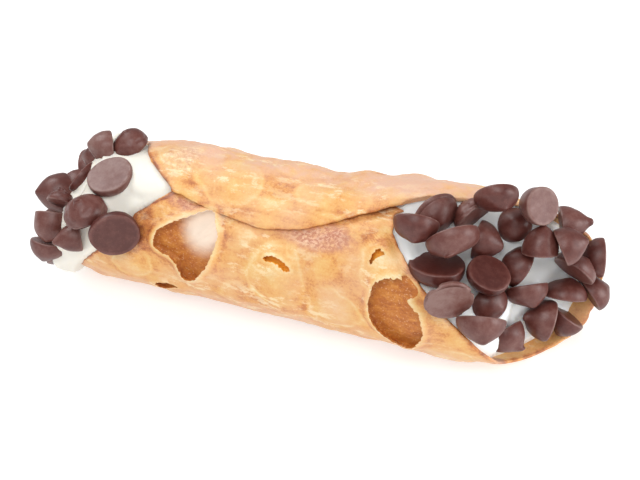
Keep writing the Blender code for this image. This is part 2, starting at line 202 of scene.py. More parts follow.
# %% The sheet's sizes, in mm and degrees
MIDDLE, ASIDE = 5.7, 2.3  # the frame's origin lies this far from the roll's fullest point
ROLL_RADIUS = 17.0
FLARE, FLARE_FROM, FLARE_LENGTH = 2.0, 10.0, 35.0  # the roll widens towards its far end
CROWN = 92.0  # how far up from the front the winding starts
BELLY_FLAT = 0.5  # how far the roll's own weight presses its belly flat
DOUGH, DOUGH_EDGE = 1.9, 1.0  # how thick it is, and how thick at its edge
LAP_CLEAR = 0.25
LIFT_START, LIFT_TURNS = 318.0, 36.0  # where the lap starts to rise, and over how much
LIFT_FROM, LIFT_TO, LIFT_EASE = -42.0, 50.0, 15.0

FAR_LIP = [  # turn, along
    (17, 31.5), (35, 31), (54, 35), (82, 43), (108, 51), (133, 56), (160, 57.5),
    (187, 63), (216, 69.5), (254, 72), (284, 70), (312, 62), (345, 50), (361, 43),
]
NEAR_LIP = [
    (39, -22), (54, -27.5), (86, -35), (128, -45.5), (155, -48.5), (200, -49),
    (250, -48.5), (290, -46), (320, -42), (350, -35), (375, -30.5), (388, -26),
]
UNDER_EDGE = [(-22, 39), (-12, 5), (4, -3), (20, 2), (31.5, 17)]  # along, turn
LAP_EDGE = [(-22, 399), (-14, 405), (3, 411), (12, 405), (20, 393), (31.5, 377)]


def far_lip(turn):
    return curve_through(FAR_LIP, turn, 360)


def near_lip(turn):
    return curve_through(NEAR_LIP, turn, 360)


def roll_radius(along):
    return ROLL_RADIUS + FLARE * smooth_step((along - FLARE_FROM) / FLARE_LENGTH)


def wrapped(along, turn, out):
    """Places in metres, "out" mm outside the roll's own radius."""
    up = np.radians(CROWN - turn)
    radius = roll_radius(along)
    height = radius - BELLY_FLAT + (radius + out) * np.sin(up)
    across = ASIDE - (radius + out) * np.cos(up)
    return np.stack([along - MIDDLE, across, height], axis=-1) * MM


def lap_lift(along, turn):
    """How far the lap rises over the layer below it."""
    rise = smooth_step((turn - LIFT_START) / LIFT_TURNS)
    beside = smooth_step((LIFT_TO - along) / LIFT_EASE) * smooth_step((along - LIFT_FROM) / LIFT_EASE)
    return (DOUGH + LAP_CLEAR) * rise * beside


print("the roll is", 2 * ROLL_RADIUS, "mm thick, and at its flare", 2 * (ROLL_RADIUS + FLARE))

# %% [markdown]
# A Coons patch fills the sheet between its four edges: it adds the two blends of facing edges and
# takes away what it has then counted twice. wrapped() puts a place on the roll, and unwrapped()
# reads it back, which painting and filling need later.

# %% The sheet between its edges


def unwrapped(places):
    """Along, turn, and mm outside the roll's own radius, of places in metres."""
    along = places[:, 0] / MM + MIDDLE
    height = places[:, 2] / MM - (roll_radius(along) - BELLY_FLAT)
    across = places[:, 1] / MM - ASIDE
    turn = np.mod(CROWN - np.degrees(np.arctan2(height, -across)), 360)
    return along, turn, np.hypot(height, across) - roll_radius(along)


def sheet_place(across, down):
    """Along and turn at a fraction (0 to 1) across the sheet and down its winding."""
    left_turn = NEAR_LIP[0][0] + 360 * down
    right_turn = FAR_LIP[0][0] + 360 * down
    top_along = UNDER_EDGE[0][0] + (UNDER_EDGE[-1][0] - UNDER_EDGE[0][0]) * across
    under = np.stack([top_along, curve_through(UNDER_EDGE, top_along)])
    lap = np.stack([top_along, curve_through(LAP_EDGE, top_along)])
    left = np.stack([near_lip(left_turn), left_turn])
    right = np.stack([far_lip(right_turn), right_turn])
    corners = [
        np.array(edge[end], float)[:, None] for edge in (UNDER_EDGE, LAP_EDGE) for end in (0, -1)
    ]
    blend = (1 - down) * under + down * lap + (1 - across) * left + across * right
    twice = (1 - down) * ((1 - across) * corners[0] + across * corners[1])
    twice = twice + down * ((1 - across) * corners[2] + across * corners[3])
    return blend - twice


print("the roll is", round(2 * math.pi * ROLL_RADIUS), "mm round")

# %% [markdown]
# ## Relief from frying
#
# Water in the dough turns to steam in the hot fat and lifts its skin. That leaves broad waves,
# large low blisters, many small ones beside each other, and long creases from the rolling pin.
# All of it is real relief here, added outwards to the upper skin as a height in mm. A blister is a
# low dome with a clear foot. The large ones are listed one by one, as they make the roll's character,
# and the small ones are strewn by a seeded draw.

# %% The blisters
WAVE_HEIGHT, WAVE_LENGTH, WAVES_ROUND, WAVE_SLANT = 0.25, 32.0, 4, 0.11
PLAIN_TO, PLAIN_EASE = 30.0, 20.0  # up to this turn the dough lies under the lap and stays plain
BROAD_BLISTERS = [  # along, degrees up from the front, radius, height
    (-16, 19, 10.0, 1.3), (35.5, -3, 9.0, 1.2), (8, -26, 8.0, 0.9), (6, 12, 5.0, 0.6),
    (30, 34, 5.0, 0.5), (19, 108, 7.0, 1.0), (-4, 78, 8.0, 0.8), (-20, 96, 7.0, 0.6),
    (46, 118, 8.0, 0.8), (12, -80, 9.0, 0.5), (-30, -150, 9.0, 0.9), (25, 175, 10.0, 1.0),
    (55, -150, 8.0, 0.8), (0, 150, 9.0, 0.9),
]
DOMES = [  # along, degrees up, half length, half height across the roll, height: clear edges
    (6.5, 5, 7.5, 8.5, 0.7), (31, 33, 5.5, 7.0, 0.7), (20.5, -14, 7.5, 6.0, 0.7),
    (-9, 68, 8.0, 5.0, 0.55), (16, 72, 9.0, 4.5, 0.5), (30, 119, 5.5, 4.5, 1.4),
    (-4, 32, 4.0, 3.5, 0.4), (-33, 66, 5.0, 4.0, 0.6), (12, 33, 4.0, 3.0, 0.4),
    (40, 60, 6.0, 3.5, 0.5), (-2, -22, 6.0, 5.0, 0.5), (47, -48, 6.0, 5.0, 0.6),
    (-30, -12, 5.0, 5.0, 0.6), (25, 55, 6.5, 3.0, 0.35), (-24, 84, 5.5, 4.0, 0.5),
    (5, 100, 8.0, 5.0, 0.5), (-14, 125, 7.0, 6.0, 0.7), (18, 140, 8.0, 6.0, 0.7),
    (44, 160, 7.0, 7.0, 0.8), (-34, 165, 6.0, 6.0, 0.6), (4, 178, 7.0, 6.0, 0.6),
    (30, -155, 8.0, 6.0, 0.7), (-18, -160, 7.0, 7.0, 0.7), (52, -120, 7.0, 6.0, 0.6),
]
BLISTER_SPREAD = 0.55  # of a broad blister's radius, where it is down to a third of its height
DOME_WOBBLE, WOBBLE_SIZE = 0.25, 4.0  # share by which a dome's foot wanders, and over what length
SMALL_BLISTERS = 900
SMALL_RADIUS = (0.5, 2.6)
SMALL_HEIGHT = 0.13  # of the radius
CREASE_HEIGHT, CREASE_SIZE, CREASE_PULL = 0.16, 2.2, 0.45  # creases run along the roll
PORE_HEIGHT, PORE_SIZE = 0.07, 0.8
print("blisters:", len(BROAD_BLISTERS), "broad,", len(DOMES), "domes,", SMALL_BLISTERS, "small")

# %% Heights on the dough


def around_to(turn, up):
    """Mm round the roll from a level, told in degrees up from the front, to a turn."""
    return (np.mod(CROWN - turn - up + 180, 360) - 180) * math.radians(1) * ROLL_RADIUS


def dome_height(distance):
    """A blister's height for a distance of 0 at its middle and 1 at its foot."""
    return np.clip(1 - distance**2, 0, 1) ** 1.4


def noise_at(places, shift=(0, 0, 0)):
    """Soft noise between -1 and 1 at each place, with blobs one unit across."""
    shift = Vector(shift)
    return np.array([noise.noise(Vector(place) + shift) for place in places])


def mottled(along, turn, size, seed):
    """Noise of about this many mm, with no seam where the turn comes round again."""
    up = np.radians(CROWN - turn)
    places = np.stack([along, ROLL_RADIUS * np.cos(up), ROLL_RADIUS * np.sin(up)], axis=-1) / size
    return noise_at(places, (seed * 7.3, seed * 3.1, -seed * 5.7))


def dome_distances(along, turn):
    """For each dome: each place's distance, 0 at its middle and 1 at its foot, and its height."""
    wobble = 1 + DOME_WOBBLE * mottled(along, turn, WOBBLE_SIZE, 1)
    for centre, level, half_long, half_round, most in DOMES:
        distance = np.hypot((along - centre) / half_long, around_to(turn, level) / half_round)
        yield distance * wobble, most


def fried_height(along, turn, draws):
    """The upper skin's height over the plain sheet, in mm."""
    up = CROWN - turn
    height = WAVE_HEIGHT * np.sin(2 * math.pi * along / WAVE_LENGTH + 1)
    height = height * np.sin(np.radians(up * WAVES_ROUND) + along * WAVE_SLANT)
    for centre, level, spread, most in BROAD_BLISTERS:
        distance = np.hypot(along - centre, around_to(turn, level))
        height = height + most * np.exp(-((distance / (BLISTER_SPREAD * spread)) ** 2))
    for distance, most in dome_distances(along, turn):
        height = height + most * dome_height(distance)
    small = np.zeros_like(height)
    for centre, level, radius, stretch in draws:
        distance = np.hypot((along - centre) / stretch, around_to(turn, level)) / radius
        near = distance < 1
        small[near] = np.maximum(small[near], radius * SMALL_HEIGHT * dome_height(distance[near]))
    height = height + small
    height = height + CREASE_HEIGHT * mottled(along * CREASE_PULL, turn, CREASE_SIZE, 2)
    height = height + PORE_HEIGHT * mottled(along, turn, PORE_SIZE, 3)
    return height * smooth_step((turn - PLAIN_TO) / PLAIN_EASE)


print("halfway to its foot a dome has", round(float(dome_height(0.5)), 2), "of its height")

# %% [markdown]
# ## Burst blisters
#
# Where a blister's skin is too thin it breaks open. Its edge is ragged and stands up, pale and
# thin as paper, and under it the hollow runs on a little way. Each burst is told by its outline.
# The dough round it is raised first. Later a cutter takes the hollow out: it follows the outline
# through the skin, widens below it, and ends in a bumpy floor.

# %% The bursts' outlines
BURSTS = {  # (along, degrees up) round the opening, then rim height, depth, undercut in mm
    "left": (
        [(-23.7, 14), (-22.3, 24), (-16.7, 35.5), (-11.2, 45), (-9.3, 36), (-8.2, 25), (-9.8, 6),
         (-13.6, -11), (-16.2, -12), (-17.6, 0.5), (-19.6, 5.5), (-22.6, 8)],
        1.0, 1.0, 1.0,
    ),
    "right": (
        [(29.3, 4), (31, 19), (35.7, 22.5), (39.2, 17), (38.6, 9), (41.2, 0),
         (41.7, -17), (37.8, -35), (33.5, -27), (30.2, -13)],
        0.9, 1.0, 1.0,
    ),
    "crescent": (
        [(3.3, 18.5), (4.8, 22), (7, 21.5), (9.9, 16), (9.2, 13.5), (8.2, 15), (6.3, 18)],
        0.35, 0.9, 0.9,
    ),
    "nick": ([(28.2, 31), (29, 38), (30, 39.5), (31.4, 37), (30.2, 34), (28.8, 30)], 0.25, 0.8, 0.6),
    "low": ([(-25, -30), (-22, -27), (-19.6, -31), (-22, -35), (-24.6, -34)], 0.4, 0.8, 0.5),
}
RIM_FALL = 1.6  # mm over which a burst's raised rim comes down again
BURST_REACH = 16.0  # mm from a burst's middle within which it counts
FINE_STEPS, COARSE_STEPS = 16, 4  # places to each point of an outline, to cut and to measure by
print("bursts:", ", ".join(BURSTS))

# %% Distance from an outline


def outline_of(points, step_count):
    """A smooth closed line through the points, in mm along and mm round from its middle level."""
    flat = np.array(points, float)
    level = flat[:, 1].mean()
    flat[:, 1] = np.radians(flat[:, 1] - level) * ROLL_RADIUS
    line = []
    count = len(flat)
    for i in range(count):
        a, b, c, d = (flat[(i + k) % count] for k in (-1, 0, 1, 2))
        for t in np.arange(step_count) / step_count:
            line.append(
                0.5 * (2 * b + (c - a) * t + (2 * a - 5 * b + 4 * c - d) * t**2
                       + (3 * b - a - 3 * c + d) * t**3)
            )
    return np.array(line), level


def outside_distance(line, along, around):
    """Mm from the closed line to each place, negative inside it."""
    places = np.stack([along, around], axis=-1)
    ends = np.roll(line, -1, axis=0)
    nearest = np.full(len(places), np.inf)
    inside = np.zeros(len(places), bool)
    for a, b in zip(line, ends):
        side = b - a
        share = np.clip((places - a) @ side / (side @ side), 0, 1)
        gap = places - a - share[:, None] * side
        nearest = np.minimum(nearest, np.hypot(*gap.T))
        if a[1] != b[1]:
            crossing = a[0] + (places[:, 1] - a[1]) / (b[1] - a[1]) * side[0]
            spans = (a[1] > places[:, 1]) != (b[1] > places[:, 1])
            inside ^= spans & (places[:, 0] < crossing)
    return np.where(inside, -nearest, nearest)


def burst_gaps(along, turn):
    """For each burst: which places are near it, how far outside its edge they are, its rim height."""
    for points, most, _, _ in BURSTS.values():
        line, level = outline_of(points, COARSE_STEPS)
        around = around_to(turn, level)
        near = (np.abs(along - line[:, 0].mean()) < BURST_REACH) & (np.abs(around) < BURST_REACH)
        if near.any():
            yield near, outside_distance(line, along[near], around[near]), most


def rim_height(along, turn):
    """How far the bursts raise the dough round them, in mm."""
    raised = np.zeros_like(along)
    for near, gap, most in burst_gaps(along, turn):
        raised[near] += most * np.exp(-((np.maximum(gap, 0) / RIM_FALL) ** 2))
    return raised


for name, (points, *_) in BURSTS.items():
    line, _ = outline_of(points, FINE_STEPS)
    print(name, "opening:", np.ptp(line, axis=0).round(1), "mm along and round")

# %% [markdown]
# ## The shell
#
# The sheet has an upper and a lower skin. Both are grids of about half a millimetre, closer
# together near the sheet's edge, where the dough rounds off. The skins are joined round the edge
# by a bridge, and then the bursts are cut.

# %% Two flat skins
ACROSS_CELLS, DOWN_CELLS = 224, 200


def add_skin(name):
    """A flat grid of 1 by 1, whose x tells how far across the sheet a place is, and y how far down."""
    bpy.ops.object.select_all(action="DESELECT")
    bpy.ops.mesh.primitive_grid_add(x_subdivisions=ACROSS_CELLS, y_subdivisions=DOWN_CELLS, size=1)
    skin = bpy.context.object
    skin.name = name
    return skin


def vertex_places(mesh):
    """All vertex places of a mesh, as an array."""
    places = np.empty(len(mesh.vertices) * 3)
    mesh.vertices.foreach_get("co", places)
    return places.reshape(-1, 3)


upper, lower = add_skin("shell_of_fried_dough"), add_skin("lower_skin")
print("each skin:", len(vertex_places(upper.data)), "points, still flat")

# %% Wrapping the skins
EDGE_CELLS, EDGE_BAND = 6, 0.012  # so many cells lie in this share of the sheet at each edge
EDGE_WIDTH = 0.010  # share of the sheet over which its edge rounds off
EDGE_BLUNT = 0.85  # 1 would round it to a knife edge
EDGE_TAPER = 0.10  # share over which the dough gets thinner towards its edge
EDGE_RELIEF = 0.05  # share over which the relief fades out towards the edge
HIGHEST_RELIEF = 3.2  # mm
LIP_WAVE, LIP_SHARE = 0.45, 0.06  # mm that the lips wander in and out, and over what share
LAP_WAVE, LAP_SHARE = 1.2, 0.05  # degrees that the lap's edge wanders, and over what share


def move_vertices(mesh, places):
    """Puts all vertices of a mesh at these places."""
    mesh.vertices.foreach_set("co", np.asarray(places, np.float32).ravel())
    mesh.update()


def crowded(share, cells):
    """Grid lines drawn together towards both edges."""
    edge = EDGE_CELLS / cells
    return np.interp(share, [0, edge, 1 - edge, 1], [0, EDGE_BAND, 1 - EDGE_BAND, 1])


def wrap_skin(skin, outer, draws):
    """Bends a flat grid to its place in the roll, as the upper or the lower skin."""
    flat = vertex_places(skin.data) + 0.5
    across, down = crowded(flat[:, 0], ACROSS_CELLS), crowded(flat[:, 1], DOWN_CELLS)
    along, turn = sheet_place(across, down)
    from_edge = np.minimum.reduce([across, 1 - across, down, 1 - down])
    uneven = mottled(along, turn, 3.0, 4) + 0.5 * mottled(along, turn, 1.1, 5)
    at_lips = smooth_step(1 - np.minimum(across, 1 - across) / LIP_SHARE)
    at_lap = smooth_step(1 - np.minimum(down, 1 - down) / LAP_SHARE)
    along = along + LIP_WAVE * uneven * at_lips
    turn = turn + LAP_WAVE * uneven * at_lap
    inner = smooth_step(from_edge / EDGE_TAPER)
    thick = DOUGH_EDGE + (DOUGH - DOUGH_EDGE) * inner
    bottom = lap_lift(along, turn) - DOUGH
    rounding = EDGE_BLUNT * np.clip(1 - from_edge / EDGE_WIDTH, 0, 1)
    bulge = np.sqrt(1 - rounding**2)
    if outer:
        height = fried_height(along, turn, draws) + rim_height(along, turn)
        height = np.minimum(height * smooth_step(from_edge / EDGE_RELIEF), HIGHEST_RELIEF)
        out = bottom + thick * (0.5 + 0.5 * bulge) + height
    else:
        out = bottom + thick * (0.5 - 0.5 * bulge)
    places = wrapped(along, turn, out)
    places[:, 2] = np.maximum(places[:, 2], 0.0)
    move_vertices(skin.data, places)


rng = np.random.default_rng(7)
draws = np.stack(
    [
        rng.uniform(-50, 72, SMALL_BLISTERS),
        rng.uniform(-180, 180, SMALL_BLISTERS),
        SMALL_RADIUS[0] + (SMALL_RADIUS[1] - SMALL_RADIUS[0]) * rng.random(SMALL_BLISTERS) ** 2.5,
        rng.uniform(0.9, 1.9, SMALL_BLISTERS),
    ],
    axis=-1,
)
wrap_skin(upper, True, draws)
wrap_skin(lower, False, draws)
print("wrapped:", [round(side / MM, 1) for side in np.ptp(vertex_places(upper.data), axis=0)], "mm")

# %% One closed shell


def select_only(thing):
    """Nothing but this object is selected and active."""
    bpy.ops.object.select_all(action="DESELECT")
    thing.select_set(True)
    bpy.context.view_layer.objects.active = thing


select_only(lower)
bpy.ops.object.mode_set(mode="EDIT")
bpy.ops.mesh.select_all(action="SELECT")
bpy.ops.mesh.flip_normals()
bpy.ops.object.mode_set(mode="OBJECT")
select_only(upper)
lower.select_set(True)
bpy.ops.object.join()
shell = upper
bpy.ops.object.mode_set(mode="EDIT")
bpy.ops.mesh.select_mode(type="EDGE")
bpy.ops.mesh.select_all(action="DESELECT")
bpy.ops.mesh.select_non_manifold()
bpy.ops.mesh.bridge_edge_loops()
bpy.ops.mesh.select_all(action="SELECT")
bpy.ops.mesh.normals_make_consistent(inside=False)
bpy.ops.object.mode_set(mode="OBJECT")
print("shell:", len(shell.data.polygons), "faces before the bursts are cut")

# %% [markdown]
# ## Nodes and patterns
#
# Every finish below is built from a few nodes. One function adds a node, sets it and links it, and
# gives back the node with the output to read. Most of the nodes draw patterns, each from noise on
# the piece's own coordinates. A pattern is told by its size in mm, is drawn out along the roll
# where the dough was pulled, and is spread over the range of values that the finish needs.

# %% One node, and one pattern
MIX_FIRST, MIX_SECOND, MIX_RESULT = 6, 7, 2  # the colour sockets of a Mix node, by their numbers
ADD, MULTIPLY = {"operation": "ADD"}, {"operation": "MULTIPLY"}


def add_node(material, kind, output, settings=None, links=None, stops=()):
    """Adds a node and returns (node, output). Settings name its own values or its sockets."""
    tree = material.node_tree
    node = tree.nodes.new("ShaderNode" + kind)
    for key, value in (settings or {}).items():
        if isinstance(key, int) or key in node.inputs:
            node.inputs[key].default_value = value
        else:
            setattr(node, key, value)
    for key, (source, source_output) in (links or {}).items():
        tree.links.new(source.outputs[source_output], node.inputs[key])
    if stops:  # a colour ramp's: (place, hex colour)
        band = node.color_ramp.elements
        while len(band) < len(stops):
            band.new(0.5)
        for element, (place, code) in zip(band, stops):
            element.position, element.color = place, srgb(code)
    return node, output


def link(material, source, shader, socket):
    """Leads (node, output) into a socket of the shader."""
    node, output = source
    material.node_tree.links.new(node.outputs[output], shader.inputs[socket])


def pattern(material, size, detail=3.0, roughness=0.6, pull=None, spread=None):
    """Blobs of about this many mm, pulled longer along the roll, from one range to another."""
    place = add_node(material, "TexCoord", "Object")
    if pull:
        pulled = {"Scale": (1 / pull, 1.0, 1.0)}
        place = add_node(material, "Mapping", "Vector", pulled, {"Vector": place})
    settings = {"Scale": 1 / (2 * size * MM), "Detail": detail, "Roughness": roughness}
    blobs = add_node(material, "TexNoise", "Fac", settings, {"Vector": place})
    if not spread:
        return blobs
    ranges = dict(zip(("From Min", "From Max", "To Min", "To Max"), spread))
    return add_node(material, "MapRange", "Result", ranges, {"Value": blobs})


print("blobs of 1 mm have a scale of", 1 / (2 * MM))

# %% [markdown]
# ## Fried dough
#
# The crust is flour dough, rolled thin and deep-fried. Fat darkens it from cream through straw to
# amber. The tops of thin blisters stay pale, the creases between them go orange, and some patches
# turn a little pink where the dough lay under the lap. How brown each place is gets painted on the
# mesh, as it follows the blisters, and noise of a few millimetres and less breaks it up. The same
# paint also carries painted shade, browner along the lap and the belly, and painted light, pinker
# and paler over the top of the roll. A thin film of fat gives it a soft satin gloss. Its grain is
# about a quarter of a millimetre.
#
# Where the skin was stretched it has lifted in pale flakes, drawn out along the roll. Under the
# lap the dough stayed damp and is rough, with red-brown flecks. Flakes and flecks are noise too,
# let through only where the mesh is painted flaky or rough.

# %% The crust
CRUST = [
    (0.0, "e8d5a9"), (0.22, "e5c48b"), (0.45, "e1b26c"), (0.64, "dca05a"), (0.8, "c57c40"), (1.0, "8f4a26"),
]
BLUSH, FLECK, FLAKE, SPECK = "dcb095", "b3694b", "efdcb4", "f3dfc4"
CRUST_PATTERNS = {  # mm, detail, roughness, pulled how many times longer, from and to what range
    "mottle": (1.6, 6.0, 0.7, None, (0.32, 0.68, -0.11, 0.09)),
    "streak": (0.8, 5.0, 0.65, 7.5, (0.32, 0.68, -0.09, 0.07)),
    "grain": (0.25, 3.0, 0.7, None, (0.3, 0.7, -0.09, 0.09)),
    "flakes": (1.1, 7.0, 0.75, 2.4, (0.53, 0.59, 0.0, 0.75)),
    "flecks": (0.30, 3.0, 0.7, 1.3, (0.45, 0.55, 0.0, 0.8)),
    "specks": (0.16, 2.0, 0.5, None, (0.66, 0.76, 0.0, 0.35)),
}
CRUST_BUMP_SIZE, CRUST_BUMP_DEPTH = 0.25, 0.15  # mm
crust, crust_shader = new_material(
    "deep_fried_dough",
    {
        "Roughness": 0.48, "Subsurface Weight": 0.10, "Subsurface Radius": (1.0, 0.5, 0.2),
        "Subsurface Scale": 1.2 * MM,
    },
)
show = {name: pattern(crust, *values) for name, values in CRUST_PATTERNS.items()}
for name in ("browning_and_shade", "pinkness_and_painted_light", "rough", "flaky"):  # painted on the mesh, further down
    show[name] = add_node(crust, "Attribute", "Fac", {"attribute_name": name})
tone = show["browning_and_shade"]
for name in ("mottle", "streak", "grain"):
    tone = add_node(crust, "Math", "Value", ADD, {0: tone, 1: show[name]})
for name, where in (("flakes", "flaky"), ("flecks", "rough")):
    show[name] = add_node(crust, "Math", "Value", MULTIPLY, {0: show[name], 1: show[where]})
colour = add_node(crust, "ValToRGB", "Color", links={"Fac": tone}, stops=CRUST)
for name, code in (("pinkness_and_painted_light", BLUSH), ("flakes", FLAKE), ("flecks", FLECK), ("specks", SPECK)):
    laid_over = {"data_type": "RGBA", MIX_SECOND: srgb(code)}
    links = {"Factor": show[name], MIX_FIRST: colour}
    colour = add_node(crust, "Mix", MIX_RESULT, laid_over, links)
link(crust, colour, crust_shader, "Base Color")
relief = {"Strength": 0.6, "Distance": CRUST_BUMP_DEPTH * MM}
bump = add_node(crust, "Bump", "Normal", relief, {"Height": pattern(crust, CRUST_BUMP_SIZE)})
link(crust, bump, crust_shader, "Normal")
print("crust from", CRUST[0][1], "to", CRUST[-1][1])

# %% [markdown]
# ## The hollow under a burst blister
#
# The floor of a hollow was shut in with its own steam, so it is amber, matt and finely streaked,
# with some bright grains. In the largest one a film of dough still hangs over it and veils it
# nearly white. In the small openings light comes through the thin skin and glows orange.

# %% The hollow's floor
HOLLOW = [(0.3, "8d4716"), (0.44, "b26526"), (0.56, "c47a2f"), (0.7, "dd9c4c")]
HOLLOW_GRAIN, VEIL, GLOW = "e0b183", "f0dcc8", "f8b23e"
HOLLOW_STREAK, HOLLOW_PULL, HOLLOW_GRAIN_SIZE = 0.8, 2.0, 0.22  # mm, times, mm
HOLLOW_DEPTH = 0.25  # mm, of its streaks
hollow, hollow_shader = new_material("dough_under_a_blister", {"Roughness": 0.6})
streaks = pattern(hollow, HOLLOW_STREAK, 8.0, 0.8, HOLLOW_PULL)
grains = pattern(hollow, HOLLOW_GRAIN_SIZE, 2.0, 0.5, None, (0.60, 0.70, 0.0, 0.6))
glow = add_node(hollow, "Attribute", "Fac", {"attribute_name": "glow"})
veil = add_node(hollow, "Attribute", "Fac", {"attribute_name": "veil"})
colour = add_node(hollow, "ValToRGB", "Color", links={"Fac": streaks}, stops=HOLLOW)
for amount, code in ((grains, HOLLOW_GRAIN), (glow, GLOW), (veil, VEIL)):
    laid_over = {"data_type": "RGBA", MIX_SECOND: srgb(code)}
    colour = add_node(hollow, "Mix", MIX_RESULT, laid_over, {"Factor": amount, MIX_FIRST: colour})
link(hollow, colour, hollow_shader, "Base Color")
relief = {"Strength": 0.6, "Distance": HOLLOW_DEPTH * MM}
bump = add_node(hollow, "Bump", "Normal", relief, {"Height": streaks})
link(hollow, bump, hollow_shader, "Normal")
print("hollow from", HOLLOW[0][1], "to", HOLLOW[-1][1])

# %% [markdown]
# ## Cutting the bursts
#
# Each cutter is a closed, lathe-like body on the burst's outline. Its rings go from above the skin
# straight down through it, out below it by the undercut, and in again over the bumpy floor. The
# ragged edge is only at the skin. A Boolean then takes it out of the shell.

# %% A closed body from rings of places


def add_object(name, mesh):
    """An object with this mesh, at the origin and unturned."""
    thing = bpy.data.objects.new(name, mesh)
    bpy.context.scene.collection.objects.link(thing)
    return thing


def add_body(name, rings, first_tip, last_tip):
    """Faces between each two rings, and a fan of faces to a tip at each end."""
    bm = bmesh.new()
    loops = [[bm.verts.new(place) for place in ring] for ring in rings]
    count = len(loops[0])
    following = [(i + 1) % count for i in range(count)]
    for lower, upper in zip(loops, loops[1:]):
        for i, j in enumerate(following):
            bm.faces.new((lower[i], lower[j], upper[j], upper[i]))
    for loop, place in ((loops[0], first_tip), (loops[-1], last_tip)):
        tip = bm.verts.new(place)
        for i, j in enumerate(following):
            bm.faces.new((loop[i], loop[j], tip))
    bmesh.ops.recalc_face_normals(bm, faces=bm.faces)
    mesh = bpy.data.meshes.new(name)
    bm.to_mesh(mesh)
    bm.free()
    return add_object(name, mesh)


print("made: add_object and add_body")

# %% The cutters
SKIN = 0.42  # mm, how thick a burst blister's skin is
RAGGED = 0.32  # mm
CUTTER_TOP = 6.0  # mm over the roll
NECK, NECK_SKIN = 0.65, 1.3  # of the undercut and of the skin, on the ring just below the skin
OVER_FLOOR = (0.3, 0.15)  # mm that the neck and the widest ring stay over the floor
FLOOR_RINGS = 9
FLOOR_BUMPS = 0.22  # mm


def add_cutter(name, points, depth, undercut):
    """The body to take out of the shell, from over the skin down to the hollow's floor."""
    line, level = outline_of(points, FINE_STEPS)
    ahead = np.roll(line, -1, axis=0) - np.roll(line, 1, axis=0)
    outward = np.stack([ahead[:, 1], -ahead[:, 0]], axis=-1)
    outward /= np.linalg.norm(outward, axis=1)[:, None]
    middle = line.mean(axis=0)
    outward *= np.sign(((line - middle) * outward).sum(axis=1).mean())
    flat = np.column_stack([line, np.zeros(len(line))])
    tear = noise_at(flat * 1.3, (0, 0, 3)) + 0.8 * noise_at(flat * 3.1, (0, 0, 9))
    ragged = line + outward * (RAGGED * tear)[:, None]

    def turns_of(ring):
        return CROWN - level - np.degrees(ring[:, 1] / ROLL_RADIUS)

    def placed(ring, out):
        return wrapped(ring[:, 0], turns_of(ring), out)

    def skin_over(ring):
        turns = turns_of(ring)
        return fried_height(ring[:, 0], turns, draws) + rim_height(ring[:, 0], turns)

    widest = line + outward * undercut
    neck = line + outward * undercut * NECK
    over_neck, over_floor = -depth + OVER_FLOOR[0], -depth + OVER_FLOOR[1]
    rings = [
        placed(ragged, np.full(len(line), CUTTER_TOP)),
        placed(ragged, skin_over(ragged) - SKIN),
        placed(neck, np.maximum(skin_over(neck) - SKIN * NECK_SKIN, over_neck)),
        placed(widest, np.maximum(0.5 * (skin_over(widest) - SKIN - depth), over_floor)),
    ]
    for step in range(1, FLOOR_RINGS):
        ring = middle + (neck - middle) * (1 - step / FLOOR_RINGS) ** 0.8
        turns = turns_of(ring)
        bumps = mottled(ring[:, 0], turns, 1.3, 6) + 0.5 * mottled(ring[:, 0], turns, 0.6, 7)
        rings.append(placed(ring, -depth + FLOOR_BUMPS * bumps))
    tips = [placed(middle[None], np.array([out]))[0] for out in (CUTTER_TOP, -depth)]
    cutter = add_body(name, rings, *tips)
    cutter.data.materials.append(hollow)
    return cutter


print("rings over each hollow's floor:", FLOOR_RINGS - 1)

# %% The cut
shell.data.materials.clear()
shell.data.materials.append(crust)
for name, (points, _, depth, undercut) in BURSTS.items():
    cutter = add_cutter("cutter_" + name, points, depth, undercut)
    select_only(shell)
    hole = shell.modifiers.new("burst", "BOOLEAN")
    hole.operation = "DIFFERENCE"
    hole.solver = "EXACT"
    hole.material_mode = "TRANSFER"
    hole.object = cutter
    bpy.ops.object.modifier_apply(modifier=hole.name)
    bpy.data.objects.remove(cutter, do_unlink=True)
print("shell:", len(shell.data.polygons), "faces,", len(shell.data.materials), "materials")

# %% [markdown]
# ## How brown the crust is
#
# The numbers to paint are worked out from where each point of the cut shell lies: how far along
# and round the roll it is, and how far it stands out. High places are paler, the feet of blisters
# are darker, with a thin pale line just inside them, and soft noise makes it all uneven.

# %% Browning from the relief
EVEN_BROWN, PALER_HIGH, EDGE_PALE = 0.52, 0.13, 0.38
LIGHTEST, DARKEST = 0.05, 0.66  # before creases, lips and zones
MOTTLES = [(0.18, 6.0, 8), (0.13, 2.2, 9)]  # how much, mm, seed


def dome_edges(along, turn):
    """Near 1 on a thin pale line just inside a dome's foot, and below 0 in the crease outside."""
    lines = np.zeros_like(along)
    for distance, most in dome_distances(along, turn):
        inside = np.exp(-(((distance - 0.92) / 0.07) ** 2))
        outside = np.exp(-(((distance - 1.16) / 0.13) ** 2))
        lines = lines + min(most, 0.8) * (inside - outside)
    return np.clip(lines, -1, 1)


along, turn, out = unwrapped(vertex_places(shell.data))
relief = fried_height(along, np.where(turn < PLAIN_TO, turn + 360, turn), draws)
browner_and_shaded = EVEN_BROWN - PALER_HIGH * (relief - 0.5) - EDGE_PALE * dome_edges(along, turn)
browner_and_shaded += sum(most * mottled(along, turn, size, seed) for most, size, seed in MOTTLES)
browner_and_shaded = np.clip(browner_and_shaded, LIGHTEST, DARKEST)
print("browning by relief, on average", round(float(browner_and_shaded.mean()), 2))
